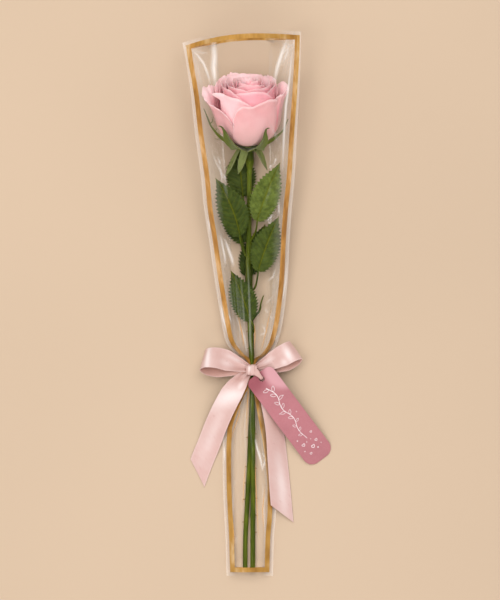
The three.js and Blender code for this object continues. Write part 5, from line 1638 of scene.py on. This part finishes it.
class WRAPPED_ROSE_OT_tag(bpy.types.Operator):
    """Make the card tag with its printed sprig, hearts and dots"""
    bl_idname = "wrapped_rose.tag"
    bl_label = "Make tag"

    def execute(self, context):
        s = context.scene.rose_tag
        fit(self.card(card_finish(s)), "card", "gift_tag")
        self.print_on(s)
        return {"FINISHED"}

    def card(self, finish):
        outline = card_outline()
        turns = [2 * math.pi * k / 60 for k in range(60)]
        hole = [(TAG["hole"] * math.cos(a), -TAG["hole_from_end"] + TAG["hole"] * math.sin(a)) for a in turns]
        curve = bpy.data.curves.new("gift_tag_card", "CURVE")
        curve.dimensions = "2D"
        curve.fill_mode = "BOTH"
        for loop in (outline, hole):
            line = curve.splines.new("POLY")
            line.points.add(len(loop) - 1)
            for point, (x, y) in zip(line.points, loop):
                point.co = (x, y, 0, 1)
            line.use_cyclic_u = True
        curve.extrude = TAG["thick"] / 2 - 0.05
        curve.bevel_depth = 0.05
        curve.bevel_resolution = 1
        drawn = placed("outline", curve)
        mesh = evaluated(drawn)
        bpy.data.objects.remove(drawn)
        for vertex in mesh.vertices:
            x, y, z = vertex.co
            vertex.co = on_tag(x, y, z + TAG["thick"] / 2) * MM
        mesh.materials.clear()
        piece = piece_from(mesh, "gift_tag_card", finish, 40)
        face_outwards(piece, 1e-6)
        return piece

    def print_on(self, s):
        """Prints a generic sprig with leaves, hearts and dots in thin raised ink."""
        finish = ink_finish(s)
        lift = TAG["thick"] + 0.02
        up = (on_tag(0, 0, 1) - on_tag(0, 0, 0)).normalized()
        tree = pieces_on_points()
        spine = [(-2, -14), (1.6, -24), (-1.6, -36), (1.6, -48), (-1.2, -59), (0.4, -69)]
        stem = Shape()
        line = Path([on_tag(x, y, lift) for x, y in spine])
        stem.tube(line, lambda share: 0.27 - 0.08 * share, 140, 6, 0.3)
        fit(stem.object("tag_print_sprig", finish), "card")
        self.leaves(line, up, tree, finish)
        self.hearts(up, tree, finish, lift)

    def leaves(self, line, up, tree, finish):
        small = Shape()
        loop = [(0.1, 0), (1.3, 0.85), (2.8, 1.0), (4.8, 0.0), (2.8, -1.0), (1.3, -0.85)]
        outlined(small, loop, 0.17)
        copied = pattern(small, "sprig_leaf")
        rows = []
        for k in range(13):
            share = 0.05 + 0.072 * k
            ahead = line.ahead(share)
            side = up.cross(ahead).normalized() * (1 if k % 2 else -1)
            rows.append((line.at(share), (ahead * -0.75 + side).normalized(), up, 1.25 - 0.035 * k))
        piece = grown("tag_print_leaves", points_mesh("sprig", rows), tree, Piece=copied, Variation=0.08,
                      Seed=2, Finish=finish)
        fit(piece, "card")
        discard(copied)

    def hearts(self, up, tree, finish, lift):
        heart = [(0, -1.1), (0.95, -0.15), (1.02, 0.5), (0.55, 0.85), (0, 0.42), (-0.55, 0.85), (-1.02, 0.5),
                 (-0.95, -0.15)]
        ring = [(0.5 * math.cos(a), 0.5 * math.sin(a)) for a in (k * math.pi / 4 for k in range(8))]
        for name, loop, spots in (
                ("tag_print_hearts", heart, [
                    (-5.5, -72, 1.2), (5.6, -74.5, 1.0), (0.4, -77.5, 1.35), (-4.6, -81.4, 0.85),
                    (6.2, -66.4, 0.8)]),
                ("tag_print_dots", ring, [
                    (-7.6, -66, 0.8), (3.2, -80.6, 0.9), (-1.8, -71.4, 0.6), (7.6, -79, 0.6),
                    (-7.8, -77, 0.7), (2.4, -71.2, 0.5), (-5.8, -38.5, 0.6), (6.6, -45.4, 0.6),
                    (5.8, -27.5, 0.6)])):
            shape = Shape()
            outlined(shape, loop, 0.22)
            copied = pattern(shape, name + "_shape")
            across = (on_tag(1, 0, 0) - on_tag(0, 0, 0)).normalized()
            rows = [(on_tag(x, y, lift), across, up, size) for x, y, size in spots]
            piece = grown(name, points_mesh(name, rows), tree, Piece=copied, Variation=0.05, Seed=3,
                          Finish=finish)
            fit(piece, "card")
            discard(copied)


def outlined(shape, loop, half):
    """Adds a closed line of thin raised ink round a loop of (x, y), softened at its corners."""
    soft = []
    count = len(loop)
    for k in range(count):
        a, b = Vector((*loop[k], 0)), Vector((*loop[(k + 1) % count], 0))
        soft += [a.lerp(b, 0.25), a.lerp(b, 0.75)]
    points, faces = [], []
    total = len(soft)
    for k in range(total):
        ahead = (soft[(k + 1) % total] - soft[k - 1]).normalized()
        side = Vector((ahead.y, -ahead.x, 0))
        for out, high in ((half, -0.02), (half * 0.6, 0.05), (-half * 0.6, 0.05), (-half, -0.02)):
            points.append(soft[k] + side * out + Vector((0, 0, high)))
    for k in range(total):
        n = (k + 1) % total
        for j in range(4):
            m = (j + 1) % 4
            faces.append((k * 4 + j, n * 4 + j, n * 4 + m, k * 4 + m))
    shape.add(points, faces, [(0.0, 0.0)] * len(points))


# ---------------------------------------------------------------- stage

# The floor's half side in metres, the camera's lens in mm and its place in metres.
FLOOR_HALF = 3.0
LENS = 500
EYE = (-0.00646, 0.00333, 6.964)
SOFT_WHITE = (1.0, 0.975, 0.95, 1)


def area_light(name, place, size, power, colour, aim=(-0.006, 0.0, 0.02), length=None, mirrored=True):
    """A lamp of the stage, aimed at the rose and hidden from the camera."""
    data = bpy.data.lights.new(name, "AREA")
    data.energy = power
    data.color = colour
    data.size = size
    if length:
        data.shape = "RECTANGLE"
        data.size_y = length
    lamp = placed(name, data)
    lamp.location = place
    lamp.rotation_euler = (Vector(aim) - Vector(place)).to_track_quat("-Z", "Y").to_euler()
    lamp.visible_camera = False
    lamp.visible_glossy = mirrored


class WRAPPED_ROSE_OT_stage(bpy.types.Operator):
    """Set the floor, the lights and the camera"""
    bl_idname = "wrapped_rose.stage"
    bl_label = "Set stage"

    def execute(self, context):
        s = context.scene.rose_stage
        mesh = bpy.data.meshes.new("floor")
        corners = [(x * FLOOR_HALF, y * FLOOR_HALF, 0) for x, y in ((-1, -1), (1, -1), (1, 1), (-1, 1))]
        mesh.from_pydata(corners, [], [(0, 1, 2, 3)])
        mesh.materials.append(floor_finish(s))
        floor = placed("floor", mesh)
        floor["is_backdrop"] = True
        world = bpy.data.worlds.new("soft_room")
        world.use_nodes = True
        room = world.node_tree.nodes["Background"]
        room.inputs["Color"].default_value = SOFT_WHITE
        room.inputs["Strength"].default_value = 0.47
        context.scene.world = world
        area_light("key_light", (-0.5, -0.1, 1.35), 0.7, s.key, (1.0, 0.97, 0.93), mirrored=False)
        area_light("low_fill", (0.0, -1.5, 0.7), 1.0, 13.0, (1.0, 0.96, 0.94), aim=(-0.006, 0.15, 0.03),
                   mirrored=False)
        area_light("crown_fill", (0.05, 0.75, 1.55), 1.5, 22.5, (1.0, 0.97, 0.96), aim=(-0.006, 0.17, 0.04),
                   mirrored=False)
        area_light("left_strip", (-1.1, 0.1, 0.5), 0.05, 0.4, (1.0, 0.98, 0.95), length=1.1)
        area_light("right_strip", (1.05, 0.2, 0.5), 0.05, 0.4, (1.0, 0.98, 0.95), length=1.1)
        area_light("top_strip", (0.0, 1.3, 0.75), 0.9, 1.4, (1.0, 0.98, 0.95), length=0.06)
        context.scene.view_settings.view_transform = "Standard"
        context.scene.cycles.transparent_max_bounces = 32
        camera = bpy.data.cameras.new("camera")
        camera.lens = LENS
        camera.clip_end = 20
        eye = placed("camera", camera)
        eye.location = EYE
        context.scene.camera = eye
        return {"FINISHED"}


# ---------------------------------------------------------------- panel and registration

OPERATORS = (
    WRAPPED_ROSE_OT_stage, WRAPPED_ROSE_OT_bloom, WRAPPED_ROSE_OT_stems, WRAPPED_ROSE_OT_leaves,
    WRAPPED_ROSE_OT_film, WRAPPED_ROSE_OT_borders, WRAPPED_ROSE_OT_ribbon, WRAPPED_ROSE_OT_tag,
)


class WRAPPED_ROSE_PT_panel(bpy.types.Panel):
    """Lists the settings and the pieces."""
    bl_idname = "WRAPPED_ROSE_PT_panel"
    bl_label = "Wrapped rose"
    bl_space_type = "VIEW_3D"
    bl_region_type = "UI"
    bl_category = "Wrapped rose"

    def draw(self, context):
        for key, group in SETTINGS.items():
            box = self.layout.box()
            box.label(text=group.__doc__)
            for name in group.__annotations__:
                box.prop(getattr(context.scene, key), name)
        for operator in OPERATORS:
            self.layout.operator(operator.bl_idname)


def register():
    for item in (*SETTINGS.values(), *OPERATORS, WRAPPED_ROSE_PT_panel):
        bpy.utils.register_class(item)
    for key, group in SETTINGS.items():
        setattr(bpy.types.Scene, key, PointerProperty(type=group))


def unregister():
    for key in SETTINGS:
        delattr(bpy.types.Scene, key)
    for item in reversed((*SETTINGS.values(), *OPERATORS, WRAPPED_ROSE_PT_panel)):
        bpy.utils.unregister_class(item)


def main():
    register()
    bpy.ops.wrapped_rose.stage()
    bpy.ops.wrapped_rose.bloom()
    bpy.ops.wrapped_rose.stems()
    bpy.ops.wrapped_rose.leaves()
    bpy.ops.wrapped_rose.film()
    bpy.ops.wrapped_rose.borders()
    bpy.ops.wrapped_rose.ribbon()
    bpy.ops.wrapped_rose.tag()
    boxes = {"cad": [list(c) for c in CAD_BOX], "visual": [list(c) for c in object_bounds()]}


if __name__ == "__main__":
    main()
